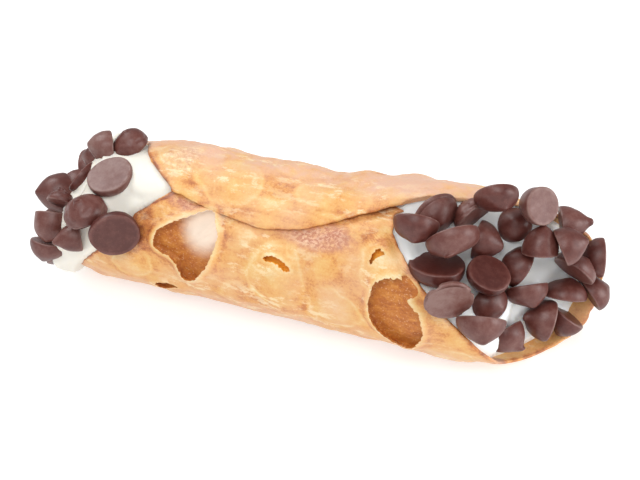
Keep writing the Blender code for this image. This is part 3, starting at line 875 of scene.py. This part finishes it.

# %% [markdown]
# Painted shade browns the crease along the lap's edge and the gap under the lap, where the lap shades
# the dough. Thin edges brown first, so the lips at both ends are darker too. A burst's paper-thin rim
# stays pale, and the dough just behind it, which the steam had lifted, is a little browner.

# %% Browning along the edges
LAP_FROM, LAP_TO, LAP_EASE = -24.0, 30.0, 3.0  # where along the roll the lap lies over dough
# painted shade: the crease along the lap's edge and the gap under the lap are painted browner
LAP_SHADE, LAP_SHADE_WIDE = 0.06, 0.35  # how much browner, and mm
UNDER_LAP_SHADE, UNDER_LAP_SHADE_DEEP, UNDER_LAP_SHADE_CLEAR = 0.10, 12.0, 0.9  # mm under the lap, mm out
LIP_BROWN, LIP_WIDE = (0.35, 0.22), (0.8, 0.7)  # at the near and the far lip
RIM_PALE, BEHIND_BROWN = 0.36, 0.16


def along_lap(last):
    """1 where the lap lies over dough, easing to 0 beside it."""
    return smooth_step((along - LAP_FROM) / LAP_EASE) * smooth_step((last - along) / LAP_EASE)


def burst_tone(along, turn):
    """How much paler a burst's rim is, and how much browner the dough is behind it."""
    tone = np.zeros_like(along)
    for near, gap, most in burst_gaps(along, turn):
        width = 0.25 + 0.35 * most
        rim = np.exp(-(((gap - 0.2) / width) ** 2))
        behind = np.exp(-(((gap - 2.9 * width) / width) ** 2))
        tone[near] += (0.2 + 0.8 * most) * (BEHIND_BROWN * behind - RIM_PALE * rim)
    return tone


lap_gap = around_to(turn, CROWN + 360 - curve_through(LAP_EDGE, along))  # above 0 under the lap
# painted shade: a browner line in the crease along the lap's edge
browner_and_shaded += LAP_SHADE * np.exp(-((lap_gap / LAP_SHADE_WIDE) ** 2)) * along_lap(LAP_TO)
# painted shade: browner dough in the gap under the lap's free edge
shaded_under_lap = smooth_step((lap_gap + 0.5) / 0.5) * smooth_step((UNDER_LAP_SHADE_DEEP - lap_gap) / 4)
shaded_under_lap *= smooth_step((UNDER_LAP_SHADE_CLEAR - out) / 0.2) * along_lap(LAP_TO + 6)
browner_and_shaded += UNDER_LAP_SHADE * shaded_under_lap
from_lips = (along - near_lip(turn), far_lip(turn) - along)
lips = sum(
    brown * np.exp(-((gap / wide) ** 2)) for brown, wide, gap in zip(LIP_BROWN, LIP_WIDE, from_lips)
)
browner_and_shaded += lips * np.clip(1 + mottled(along, turn, 2.5, 13), 0, 1.5)
browner_and_shaded += burst_tone(along, turn)
print("lips browner by up to", round(float(lips.max()), 2))

# %% [markdown]
# Some places have a tone of their own, as the dough, the fat and the steam left them: a scorched
# corner, a pale top, a pink rough strip just below the lap. Three zones are painted light and shade
# instead: a pinker, paler tone over the top of the roll, in two zones, and a dark line along the
# belly, painted shade where the roll meets the table. Each zone is a soft ellipse with shredded
# edges. Those along the back and the belly keep the same variety all round the roll.

# %% Zones with a tone of their own
ZONES = [  # along, degrees up, half length, half height in mm, browner, pinker, rougher by
    (-28.5, 20, 3.5, 6.0, 0.34, -0.5, 0.2), (-22.5, 78, 4.5, 3.5, -0.25, 0.0, 0.35),
    (-25.8, 84, 0.9, 0.7, 0.45, 0.0, 0.0), (-18.5, 62, 2.6, 1.5, 0.14, -0.2, 0.0),
    (18.5, 110, 2.6, 0.9, 0.30, -0.4, 0.0), (21.8, 106, 2.2, 0.8, 0.28, -0.4, 0.0),
    (30, 40, 5.0, 6.0, -0.12, 0.0, 0.0), (21.5, 30, 3.0, 4.5, 0.10, 0.0, 0.0),
    (20, -12, 4.6, 5.0, -0.12, 0.15, 0.0), (21.3, 1.7, 0.25, 0.2, 0.6, 0.0, 0.0),
    # painted light: (5, 104) and (36, 98) below turn the top of the roll pinker and paler, for the way the
    # overhead lamps fall on it
    (14.5, -10, 2.0, 5.0, 0.08, -0.2, 0.0), (5, 104, 45, 7.0, 0.0, 0.65, 0.0),
    (36, 98, 12, 5.0, 0.0, 0.55, 0.0), (0, -48, 60, 5.0, 0.0, 0.35, 0.0),
    (48, -52, 9.0, 4.0, -0.12, 0.2, 0.0), (33, 80, 9.0, 1.0, -0.15, 0.0, 0.0),
    (29, 47, 4.0, 2.5, 0.22, -0.2, 0.0), (1.5, -28, 9.0, 3.0, 0.10, 0.0, 0.0),
    (10, 60, 26, 6.0, 0.05, 0.0, 0.0), (0, 58, 5.0, 1.2, -0.15, 0.0, 0.0),
    (-2, 26.5, 0.9, 0.7, -0.3, 0.0, 0.0), (4, 32, 6.0, 3.0, -0.08, 0.0, 0.0),
    (-27, 150, 12, 12, 0.05, 0.2, 0.0), (20, 170, 16, 10, 0.08, 0.15, 0.1),
    (45, -150, 14, 10, 0.06, 0.2, 0.1), (-10, -140, 16, 8, 0.10, 0.1, 0.0),
    # painted shade: a dark line along the belly, where the roll meets the table
    (10, -62, 60, 1.8, 0.35, 0.25, 0.0),
]
BELOW_LAP = [(14.5, 44, 7.0, 2.8, 0.12, 0.75, 1.0), (-17.5, 49, 4.5, 2.0, 0.22, 0.45, 0.9)]
FLAKY = [  # along, degrees up, half length, half height in mm
    (-22, 77, 5, 4), (-8, 70, 6, 3), (14, 82, 10, 2.5), (-6, 96, 10, 2), (24, 68, 6, 2), (0, -20, 14, 3),
    (10, -38, 14, 3), (-18, -32, 8, 2.5), (45, -52, 8, 4), (4, 22, 6, 4), (30, 20, 5, 3), (-34, 150, 10, 8),
    (10, 140, 14, 8), (40, 170, 12, 8), (-5, -160, 14, 8),
]
VEILS = [(-12.2, 34, 4.6, 6.0)]
GLOWS = [(6.8, 17, 4.5, 3.5), (29.6, 35, 1.6, 1.6)]


def nearness(centre, level, half_long, half_round):
    """1 in the middle of a zone, 0 well outside it."""
    distance = np.hypot((along - centre) / half_long, around_to(turn, level) / half_round)
    return smooth_step(1.6 - distance)


pinker_and_painted_light = 0.10 + 0.35 * mottled(along, turn, 7.0, 10)
rougher = np.clip(0.35 * mottled(along, turn, 5.0, 11) - 0.05, 0, 1)
shreds = np.clip(1 + 0.7 * mottled(along * 0.7, turn, 1.0, 12), 0, 1.3)
for zones, where in ((ZONES, shreds), (BELOW_LAP, shreds * smooth_step(-lap_gap / 0.4))):
    for *ellipse, brown, pink, rough in zones:
        near = nearness(*ellipse) * where
        browner_and_shaded, pinker_and_painted_light, rougher = browner_and_shaded + brown * near, pinker_and_painted_light + pink * near, rougher + rough * near
flaky = 0.30 + 0.5 * mottled(along, turn, 4.0, 14) + 0.6 * sum(nearness(*zone) for zone in FLAKY)
print("zones:", len(ZONES) + len(BELOW_LAP), "toned,", len(FLAKY), "flaky")

# %% The crust's paint


def paint(mesh, name, values):
    """Keeps one number for each vertex, for a material to read."""
    layer = mesh.attributes.get(name) or mesh.attributes.new(name, "FLOAT", "POINT")
    layer.data.foreach_set("value", np.asarray(values, np.float32))


def hand_over(piece, slot, *nodes):
    """The piece rides on the part and stands for its CAD nodes; its slot is not used."""
    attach(piece, "root")
    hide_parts(*nodes)


for name, values in {"browning_and_shade": browner_and_shaded, "pinkness_and_painted_light": pinker_and_painted_light, "rough": rougher, "flaky": flaky}.items():
    paint(shell.data, name, np.clip(values, 0, 1))
for name, zones in {"veil": VEILS, "glow": GLOWS}.items():
    paint(shell.data, name, np.maximum.reduce([nearness(*zone) for zone in zones]))
select_only(shell)
bpy.ops.object.shade_smooth_by_angle(angle=math.radians(55))
hand_over(shell, "fried_dough", "shell")
print("browning from", round(float(browner_and_shaded.min()), 2), "to", round(float(browner_and_shaded.max()), 2))

# %% [markdown]
# ## The chips' places
#
# Forty-three chips lie at the two ends. Where each one lies is read from its solid in the frame:
# its base is the largest flat face, its width follows from that face's area, and its tip is the
# point farthest from the base. The tip leans to one side, which gives the chip's own X.

# %% Reading one chip's place
BASE_AREA = 2 * math.sqrt(2) * 0.475**2  # of the width squared: the solid's base has eight sides
SAME_PLANE = 0.02 * MM


def chip_place(name):
    """A chip's width and height in metres, and the matrix that stands a model on its base."""
    node = bpy.data.objects[name]
    places = vertex_places(node.data) @ np.array(node.matrix_world)[:3, :3].T
    places += np.array(node.matrix_world)[:3, 3]
    corners = np.array([places[list(face.vertices)] for face in node.data.polygons])
    crosses = np.cross(corners[:, 1] - corners[:, 0], corners[:, 2] - corners[:, 0])
    areas = np.linalg.norm(crosses, axis=1) / 2
    normals = crosses / (2 * areas)[:, None]
    offsets = (normals * corners[:, 0]).sum(axis=1)
    flat = (normals @ normals.T > 0.9998) & (np.abs(offsets - offsets[:, None]) < SAME_PLANE)
    base = flat[np.argmax(flat @ areas)]
    area = areas[base].sum()
    middle = (corners[base].mean(axis=1) * areas[base, None]).sum(axis=0) / area
    axis = -(normals[base] * areas[base, None]).sum(axis=0) / area
    axis /= np.linalg.norm(axis)
    tip = places[np.argmax((places - middle) @ axis)]
    side = tip - middle - axis * ((tip - middle) @ axis)
    side /= np.linalg.norm(side)
    matrix = Matrix.Translation(middle) @ Matrix(
        np.stack([side, np.cross(axis, side), axis], axis=1)
    ).to_4x4()
    height = (tip - middle) @ axis
    return math.sqrt(area / BASE_AREA), height, matrix


chip_places = {name: chip_place(name) for name in chip_nodes}
widths = [width / MM for width, _, _ in chip_places.values()]
print("chips from", round(min(widths), 1), "to", round(max(widths), 1), "mm wide")

# %% [markdown]
# ## Ricotta cream
#
# The cream is sheep's ricotta beaten with sugar until it is smooth, and piped in. It fills the
# shell from wall to wall, stops a little inside the lip at the wide end and stands out at the
# other, where it slumps a little. One closed tube with domed ends makes it, as it runs through
# the whole shell. Where the lap's free edge stands off the layer below, the cream fills the step.

# %% The cream's body
CREAM_OVERLAP = 0.12  # mm that the cream reaches into the dough, so that no gap shows
FAR_INSET = [(20, 0.3), (70, 0.0), (125, 0.2), (150, 1.4), (175, 3.2), (260, 3.4), (320, 2.3), (355, 0.6)]
NEAR_RIM = [
    (0, -43.5), (40, -43.5), (80, -48), (120, -52.5), (165, -56), (240, -56), (290, -53), (330, -47)
]
END_DOME = 3.0
CREAM_SWELL, SWELL_EASE = 1.7, 1.8  # mm that it swells past the lip, and over what length
CREAM_SAG, SAG_TURN, SAG_TURNS = 0.7, 150.0, 30.0  # share by which it swells more low at the front
CREAM_LIFT = 0.3  # mm that the slump stays off the table
SWELL_PAST = 0.5  # mm past the lip where the swelling has begun
RIM_ROUND, RIM_FROM = 1.0, 0.8  # mm by which the side turns into the end, and from what share
STEP_BEFORE, STEP_EASE = 6.0, 18.0  # degrees past the under layer's edge, and over how many
CREAM_SIDES, DOME_ROWS, SIDE_ROWS = 192, 44, 90


def cream_rim(end, turn):
    """Where along the roll the cream's side ends, all the way round."""
    if end == "far":
        return far_lip(turn) - curve_through(FAR_INSET, turn, 360)
    return curve_through(NEAR_RIM, turn, 360)


def cream_out(along, turn):
    """The cream's side: snug in the bore, swelling once it is clear of the near lip."""
    swell = CREAM_SWELL * smooth_step((near_lip(turn) + SWELL_PAST - along) / SWELL_EASE)
    swell = swell * (1 + CREAM_SAG * np.exp(-(((turn - SAG_TURN) / SAG_TURNS) ** 2)))
    past_top = np.mod(turn + 180, 360) - 180
    bare = smooth_step((curve_through(UNDER_EDGE, along) + STEP_BEFORE - past_top) / STEP_EASE)
    under_lap = lap_lift(along, past_top + 360) * bare
    return np.maximum(swell, under_lap + 0.3 * swell) - DOUGH + CREAM_OVERLAP


def cream_ring(end, turns, share):
    """A ring over a domed end: share is 0 in the middle and 1 at the rim."""
    outward = 1 if end == "far" else -1
    rim = cream_rim(end, turns)
    middle = rim.mean()
    rounding = smooth_step((share - RIM_FROM) / (1 - RIM_FROM)) ** 2
    dome = END_DOME * (1 - share**2) - RIM_ROUND * rounding
    along = middle + (rim - middle) * share + outward * dome
    side = (roll_radius(along) + cream_out(rim, turns)) * share
    return wrapped(along, turns, side - roll_radius(along))


def add_cream():
    """One closed tube of cream, its rings told from the near end to the far end."""
    turns = np.arange(CREAM_SIDES) * 360 / CREAM_SIDES
    near, far = cream_rim("near", turns) + RIM_ROUND * 1.3, cream_rim("far", turns) - RIM_ROUND * 1.3
    shares = np.sin(np.linspace(0, math.pi / 2, DOME_ROWS + 1))[1:]
    rings = [cream_ring("near", turns, share) for share in shares]
    for step in np.linspace(0, 1, SIDE_ROWS):
        along = near + (far - near) * step
        rings.append(wrapped(along, turns, cream_out(along, turns)))
    rings += [cream_ring("far", turns, share) for share in shares[::-1]]
    tips = [cream_ring(end, turns, 0.0)[0] for end in ("near", "far")]
    return add_body("ricotta_cream_filling", rings, *tips)


cream = add_cream()
print("cream:", len(cream.data.polygons), "faces")

# %% [markdown]
# ## Pressing the chips in
#
# Piped cream is never quite even, and a chip pressed into it pushes up a low welt round itself.
# Both are relief on the two ends only. Where the cream would still lie over a chip's face, its
# points sink behind that face, and are then smoothed, so that each chip shows as it should.

# %% Unevenness, welts and sinking
ENDS = (-20, 28)  # along: beyond these the cream is open to the air and carries chips
CREAM_WAVES, WAVE_SIZES = 0.28, (6.0, 2.4)  # mm
WELT, WELT_REACH = 0.45, 0.8  # mm
OPEN_EASE = 1.5  # mm from the bore over which welts come in
SUNK_MOST, SUNK_BEHIND = 4.0, 0.35  # mm
BURIED = ("chip_31",)  # this chip lies deep in the cream


def chips_tree(names):
    """A search tree over these chips' solids."""
    places, faces = [], []
    for name in names:
        node = bpy.data.objects[name]
        faces += [[len(places) + i for i in face.vertices] for face in node.data.polygons]
        places += [node.matrix_world @ vert.co for vert in node.data.vertices]
    return BVHTree.FromPolygons(places, faces)


every_chip = chips_tree(chip_nodes)
showing = chips_tree([name for name in chip_nodes if name not in BURIED])
places = vertex_places(cream.data)
normals = np.array([vert.normal for vert in cream.data.vertices])
along, turn, out = unwrapped(places)
at_end = (along < ENDS[0]) | (along > ENDS[1])
gaps = np.array([every_chip.find_nearest(Vector(place))[3] for place in places]) / MM
waves = noise_at(places / MM / WAVE_SIZES[0]) + 0.4 * noise_at(places / MM / WAVE_SIZES[1], (5, 5, 5))
raised = CREAM_WAVES * waves + WELT * np.exp(-((gaps / WELT_REACH) ** 2))
past_lip = along < near_lip(turn) - 1
raised *= at_end * np.where(past_lip, 1.0, np.clip(-(out + DOUGH) / OPEN_EASE, 0, 1))
places += normals * (raised * MM)[:, None]
sunk = []
for i in np.flatnonzero(at_end):
    start, inward = Vector(places[i]), Vector(-normals[i])
    hit, face_normal, _, depth = showing.ray_cast(start, inward, SUNK_MOST * MM)
    if hit and face_normal.dot(inward) < 0:
        places[i] = start + inward * (depth + SUNK_BEHIND * MM)
        sunk.append(int(i))
places[:, 2] = np.maximum(places[:, 2], CREAM_LIFT * MM)
move_vertices(cream.data, places)
select_only(cream)
for i in sunk:
    cream.data.vertices[i].select = True
bpy.ops.object.mode_set(mode="EDIT")
bpy.ops.mesh.select_mode(type="VERT")
bpy.ops.mesh.select_more()
bpy.ops.mesh.vertices_smooth(factor=0.5, repeat=3)
bpy.ops.object.mode_set(mode="OBJECT")
bpy.ops.object.shade_smooth()
print("of the cream's points,", len(sunk), "sank behind a chip")

# %% [markdown]
# Ricotta cream is moist and white, with a breath of cream colour, and light goes a little way into
# it. Towards the deep mouth of the wide end it is painted a cool bluish white, a painted shade tint for
# the shade in that mouth; where it stands out at the other end it keeps a warm cream colour.

# %% The cream's finish
COOL_SHADE_TINT, WARM = "f1f4f3", "e8e4d9"
CURD_SIZE, CURD_DEPTH = 0.35, 0.1  # mm
ricotta, ricotta_shader = new_material(
    "whipped_ricotta_cream",
    {
        "Roughness": 0.42, "Subsurface Weight": 0.25, "Subsurface Radius": (1.0, 0.9, 0.7),
        "Subsurface Scale": 1.5 * MM,
    },
)
warmth = add_node(ricotta, "Attribute", "Fac", {"attribute_name": "warmth"})
stops = [(0.0, COOL_SHADE_TINT), (1.0, WARM)]
colour = add_node(ricotta, "ValToRGB", "Color", links={"Fac": warmth}, stops=stops)
link(ricotta, colour, ricotta_shader, "Base Color")
relief = {"Strength": 0.15, "Distance": CURD_DEPTH * MM}
bump = add_node(ricotta, "Bump", "Normal", relief, {"Height": pattern(ricotta, CURD_SIZE)})
link(ricotta, bump, ricotta_shader, "Normal")
cream.data.materials.append(ricotta)
# painted shade tint: warm at the near end, cool bluish towards the wide end's mouth
paint(cream.data, "warmth", smooth_step((10 - along) / 30))
hand_over(cream, "ricotta_cream", "cream")
print("cream from", COOL_SHADE_TINT, "to", WARM)

# %% [markdown]
# ## One chocolate chip
#
# A chip is a drop of melted chocolate that set on a belt: a flat base with a thin bevelled foot,
# a full round belly and a small tip that curled over as the nozzle drew away. One drop is drawn
# up ring by ring from a circle, as by hand.

# %% One chip, one unit wide, drawn up from a circle
CHIP_SIDES = 48
CHIP_HEIGHT = 0.64
BASE_RINGS = (0.40, 0.25, 0.10)
LEVELS = (  # of the height; the rows below give a chip's radius at each, of its width
    0.0, 0.012, 0.04, 0.09, 0.15, 0.23, 0.32, 0.42, 0.52, 0.61, 0.69, 0.76, 0.82, 0.87, 0.91, 0.945,
    0.975, 0.993,
)
TIPPED = (
    0.470, 0.486, 0.496, 0.500, 0.500, 0.494, 0.478, 0.448, 0.400, 0.338, 0.268, 0.202, 0.150, 0.118,
    0.100, 0.086, 0.062, 0.032,
)
CONE = (
    0.470, 0.486, 0.496, 0.500, 0.498, 0.489, 0.470, 0.440, 0.400, 0.355, 0.308, 0.262, 0.218, 0.178,
    0.140, 0.104, 0.068, 0.034,
)
DROP = (
    0.470, 0.486, 0.496, 0.500, 0.502, 0.500, 0.494, 0.480, 0.454, 0.418, 0.372, 0.316, 0.256, 0.198,
    0.148, 0.104, 0.064, 0.030,
)


def ring_rows():
    """The tipped form's rows with one more between each two, so that a chip's side is smooth."""
    rows = np.column_stack([TIPPED, LEVELS])
    between = (rows[:-1] + rows[1:]) / 2
    return sorted(rows.tolist() + between.tolist(), key=lambda row: row[1])


def add_chip_model():
    """The model chip: rings of CHIP_SIDES vertices, the base's inner rings first."""
    bpy.ops.object.select_all(action="DESELECT")
    bpy.ops.mesh.primitive_circle_add(vertices=CHIP_SIDES, radius=BASE_RINGS[-1], fill_type="TRIFAN")
    chip = bpy.context.object
    chip.name = "chip_model"
    bpy.ops.object.mode_set(mode="EDIT")
    bpy.ops.mesh.flip_normals()
    bpy.ops.mesh.select_all(action="DESELECT")
    bpy.ops.mesh.select_mode(type="EDGE")
    bpy.ops.mesh.select_non_manifold()
    radius, level = BASE_RINGS[-1], 0.0
    for next_radius, next_level in [(r, 0.0) for r in BASE_RINGS[-2::-1]] + ring_rows():
        rise = (next_level - level) * CHIP_HEIGHT
        bpy.ops.mesh.extrude_edges_move(TRANSFORM_OT_translate={"value": (0, 0, rise)})
        bpy.ops.transform.resize(value=(next_radius / radius, next_radius / radius, 1))
        radius, level = next_radius, next_level
    bpy.ops.mesh.extrude_edges_move(
        TRANSFORM_OT_translate={"value": (0, 0, (1 - level) * CHIP_HEIGHT)}
    )
    bpy.ops.mesh.merge(type="CENTER")
    bpy.ops.mesh.select_all(action="SELECT")
    bpy.ops.mesh.normals_make_consistent(inside=False)
    bpy.ops.object.mode_set(mode="OBJECT")
    return chip


model = add_chip_model()
model_places = vertex_places(model.data)
print("the model chip:", len(model_places), "points")

# %% [markdown]
# ## No two chips alike
#
# Every chip is a mix of three forms: one with a thin drawn-out tip, a plain cone and a full drop.
# It leans, its tip curls, and its skin is a little dented. Some have a clear foot, where the drop
# spread on the belt, and a few are crumpled. The chips that stand out have a mix of their own, and
# the rest are drawn by a seeded draw. The model's points are moved, ring by ring.

# %% A chip of its own form
CHIP_BEND = 0.10  # how far a chip leans, of its width
CURL_FROM = 0.55  # of the height
FOOT_LEVEL, FOOT_GROOVE, FOOT_STEP = 0.22, 0.07, 0.03  # of the height, then of the radius
DENTS, PORES, FOLDS, BASE_DENTS = 0.022, 0.006, 0.10, 0.008  # of the width
DENT_SCALE, PORE_SCALE, FOLD_SCALE = 2.6, 7.0, (1.3, 3.2, 3.0)  # how many to a width
OWN_FORMS = {  # how tipped, how full, curl, its direction, foot, crumpling
    "chip_01": (0.20, 0.70, 0.02, 0.0, 1.0, 0.0), "chip_02": (0.55, 0.30, 0.04, 0.3, 0.0, 0.0),
    "chip_03": (0.10, 0.80, 0.00, 0.0, 0.5, 0.3), "chip_04": (0.80, -0.45, 0.05, 0.0, 0.0, 0.0),
    "chip_07": (0.10, 0.85, 0.00, 0.0, 0.0, 0.0), "chip_11": (0.35, 0.55, 0.02, 0.0, 0.0, 0.0),
    "chip_13": (0.85, 0.45, 0.20, 0.5, 0.0, 0.0), "chip_14": (0.00, 0.95, 0.00, 0.0, 0.0, 0.0),
    "chip_15": (0.35, 0.00, 0.05, 0.0, 0.0, 0.0), "chip_16": (0.10, 0.60, 0.00, 0.0, 0.0, 0.0),
    "chip_17": (0.45, 0.20, 0.08, 0.2, 0.0, 0.0), "chip_18": (0.00, 1.00, 0.00, 0.0, 0.0, 0.0),
    "chip_19": (0.60, 0.75, 0.12, -0.4, 0.0, 0.0), "chip_21": (0.80, 0.20, 0.10, 0.0, 0.0, 0.0),
    "chip_22": (0.00, 0.95, 0.00, 0.0, 0.0, 0.0), "chip_23": (0.85, 0.30, 0.22, 0.6, 0.0, 1.0),
    "chip_24": (0.30, 0.30, 0.00, 0.0, 0.0, 0.0), "chip_25": (0.85, 0.25, 0.10, 0.0, 0.0, 0.0),
    "chip_34": (0.20, 0.80, 0.04, 0.2, 0.0, 0.0), "chip_37": (0.95, 0.00, 0.15, 0.4, 0.0, 0.3),
    "chip_38": (0.60, -0.10, 0.05, 0.0, 0.0, 0.0), "chip_39": (0.00, 1.00, 0.00, 0.0, 0.0, 0.0),
    "chip_40": (0.00, 0.95, 0.00, 0.0, 0.0, 0.2), "chip_41": (0.00, 0.95, 0.00, 0.0, 0.0, 0.0),
    "chip_42": (1.00, -0.05, 0.12, 0.3, 0.0, 0.3), "chip_43": (0.00, 0.95, 0.00, 0.0, 0.0, 0.0),
}


def chip_form(places, pointed, full, bend, twist, foot, crumple, tall, seed):
    """The model's vertices as one chip of its own: shares of the forms, curl, and unevenness."""
    radius, angle = np.hypot(places[:, 0], places[:, 1]), np.arctan2(places[:, 1], places[:, 0])
    level = places[:, 2] / CHIP_HEIGHT
    mixed = np.array([pointed, 1 - pointed - full, full]) @ np.array([TIPPED, CONE, DROP])
    above = level > 1e-4
    radius = np.where(above, radius * np.interp(level, LEVELS, mixed / TIPPED), radius)
    groove = np.exp(-(((level - FOOT_LEVEL) / 0.035) ** 2))
    step = smooth_step((level - FOOT_LEVEL) / 0.04)
    radius = radius * (1 - foot * (FOOT_GROOVE * groove + FOOT_STEP * step))
    curl = np.clip((level - CURL_FROM) / (1 - CURL_FROM), 0, 1) ** 2
    lean = CHIP_BEND * level**3 + bend * curl
    x = radius * np.cos(angle) + lean * math.cos(twist)
    y = radius * np.sin(angle) + lean * math.sin(twist)
    z = tall * (level - 0.25 * abs(bend) * curl)
    shaped = np.stack([x, y, z], axis=-1)
    shift = (seed * 3.7, seed * 1.9, seed)
    dents, pores = noise_at(shaped * DENT_SCALE, shift), noise_at(shaped * PORE_SCALE, shift)
    folds = np.exp(-((noise_at(shaped * FOLD_SCALE, shift) / 0.08) ** 2))
    height = DENTS * dents + PORES * pores - crumple * FOLDS * folds
    outwards = np.stack([np.cos(angle), np.sin(angle), 0.5 * level], axis=-1)
    shaped += outwards * np.where(above, height, 0.0)[:, None]
    shaped[:, 2] += np.where(above, 0.0, BASE_DENTS * dents)
    return shaped


print("chips with a form of their own:", len(OWN_FORMS))

# %% [markdown]
# ## Dark chocolate
#
# The chips are dark chocolate with a satin skin. Where they rubbed together in their bag, a film of
# cocoa butter has bloomed and turns them dull and greyer. How much is painted on each chip, and
# clouds of noise and pale dust break it up. A lighter line round each base's rim is painted highlight.

# %% The chocolate
CHOCOLATE = [(0.0, "4a1c15"), (0.4, "5f322b"), (0.7, "6e463f"), (1.0, "7c5c55")]
DUST = "8d746c"
CLOUD_SIZE, DUST_SIZE, SCUFF_SIZE = 0.8, 0.10, 1.8  # mm; real dust is finer, and wouldn't show
chocolate, chocolate_shader = new_material("dark_chocolate", {"Specular IOR Level": 0.5})
cloud = pattern(chocolate, CLOUD_SIZE, 5.0, 0.7, None, (0.3, 0.7, -0.25, 0.25))
bloom_and_highlight = add_node(chocolate, "Attribute", "Fac", {"attribute_name": "bloom_and_highlight"})
bloomed = add_node(chocolate, "Math", "Value", ADD, {0: bloom_and_highlight, 1: cloud})
colour = add_node(chocolate, "ValToRGB", "Color", links={"Fac": bloomed}, stops=CHOCOLATE)
dust = pattern(chocolate, DUST_SIZE, 2.0, 0.6, None, (0.67, 0.76, 0.0, 0.4))
laid_over = {"data_type": "RGBA", MIX_SECOND: srgb(DUST)}
colour = add_node(chocolate, "Mix", MIX_RESULT, laid_over, {"Factor": dust, MIX_FIRST: colour})
link(chocolate, colour, chocolate_shader, "Base Color")
scuffs = pattern(chocolate, SCUFF_SIZE, 3.0, 0.6, None, (0.3, 0.7, 0.36, 0.48))
link(chocolate, scuffs, chocolate_shader, "Roughness")
print("chocolate from", CHOCOLATE[0][1], "to", CHOCOLATE[-1][1])

# %% [markdown]
# ## All the chips
#
# Each chip is a copy of the model with its own mesh. It gets its form, its own bloom, and its place
# from its solid. The matrix goes into the points, so every chip's own origin stays at the frame's.

# %% Forty-three chips
BLOOMY = {
    "chip_01": 0.55, "chip_13": 0.4, "chip_14": 0.05, "chip_18": 0.6, "chip_22": 0.12, "chip_23": 0.8,
    "chip_33": 0.8, "chip_39": 0.6, "chip_41": 0.75, "chip_42": 0.5, "chip_43": 0.1,
}
CLOUDY, RIM_HIGHLIGHT = 0.35, 0.45
RIM_RADIUS, RIM_LEVEL = 0.44, 0.03  # of the width: the base's rim starts here and goes up to here
OVAL = 0.04  # share by which a chip may be longer or shorter either way
rng = np.random.default_rng(11)
for number, name in enumerate(chip_nodes, 1):
    width, height, matrix = chip_places[name]
    mesh = model.data.copy()
    mesh.name = f"chocolate_{name}"
    pointed, full = rng.uniform(0.0, 0.3), rng.uniform(0.5, 0.7)
    bend, twist = rng.uniform(-0.02, 0.06), rng.uniform(-0.5, 0.5)
    form = OWN_FORMS.get(name, (pointed, full, bend, twist, 0.0, 0.0))
    shaped = chip_form(model_places, *form, height / width, number)
    squash = np.array([1 + rng.uniform(-OVAL, OVAL), 1 + rng.uniform(-OVAL, OVAL), 1.0])
    turned = np.array(matrix)
    move_vertices(mesh, (shaped * squash * width) @ turned[:3, :3].T + turned[:3, 3])
    mesh.materials.append(chocolate)
    rim = smooth_step((np.hypot(shaped[:, 0], shaped[:, 1]) - RIM_RADIUS) / 0.03)
    bloom_and_highlight = BLOOMY.get(name, rng.uniform(0.2, 0.5)) + CLOUDY * noise_at(shaped * 1.6, (number, 4, 9))
    # painted highlight: a lighter line round the base's rim, where its bevelled foot catches the light
    bloom_and_highlight += RIM_HIGHLIGHT * rim * (model_places[:, 2] < RIM_LEVEL)
    paint(mesh, "bloom_and_highlight", np.clip(bloom_and_highlight, 0, 1))
    chip = add_object(f"chocolate_{name}", mesh)
    select_only(chip)
    bpy.ops.object.shade_smooth_by_angle(angle=math.radians(45))
    hand_over(chip, "chocolate", name)
bpy.data.objects.remove(model, do_unlink=True)
print("chips:", len(chip_nodes), "of", len(mesh.polygons), "faces each")
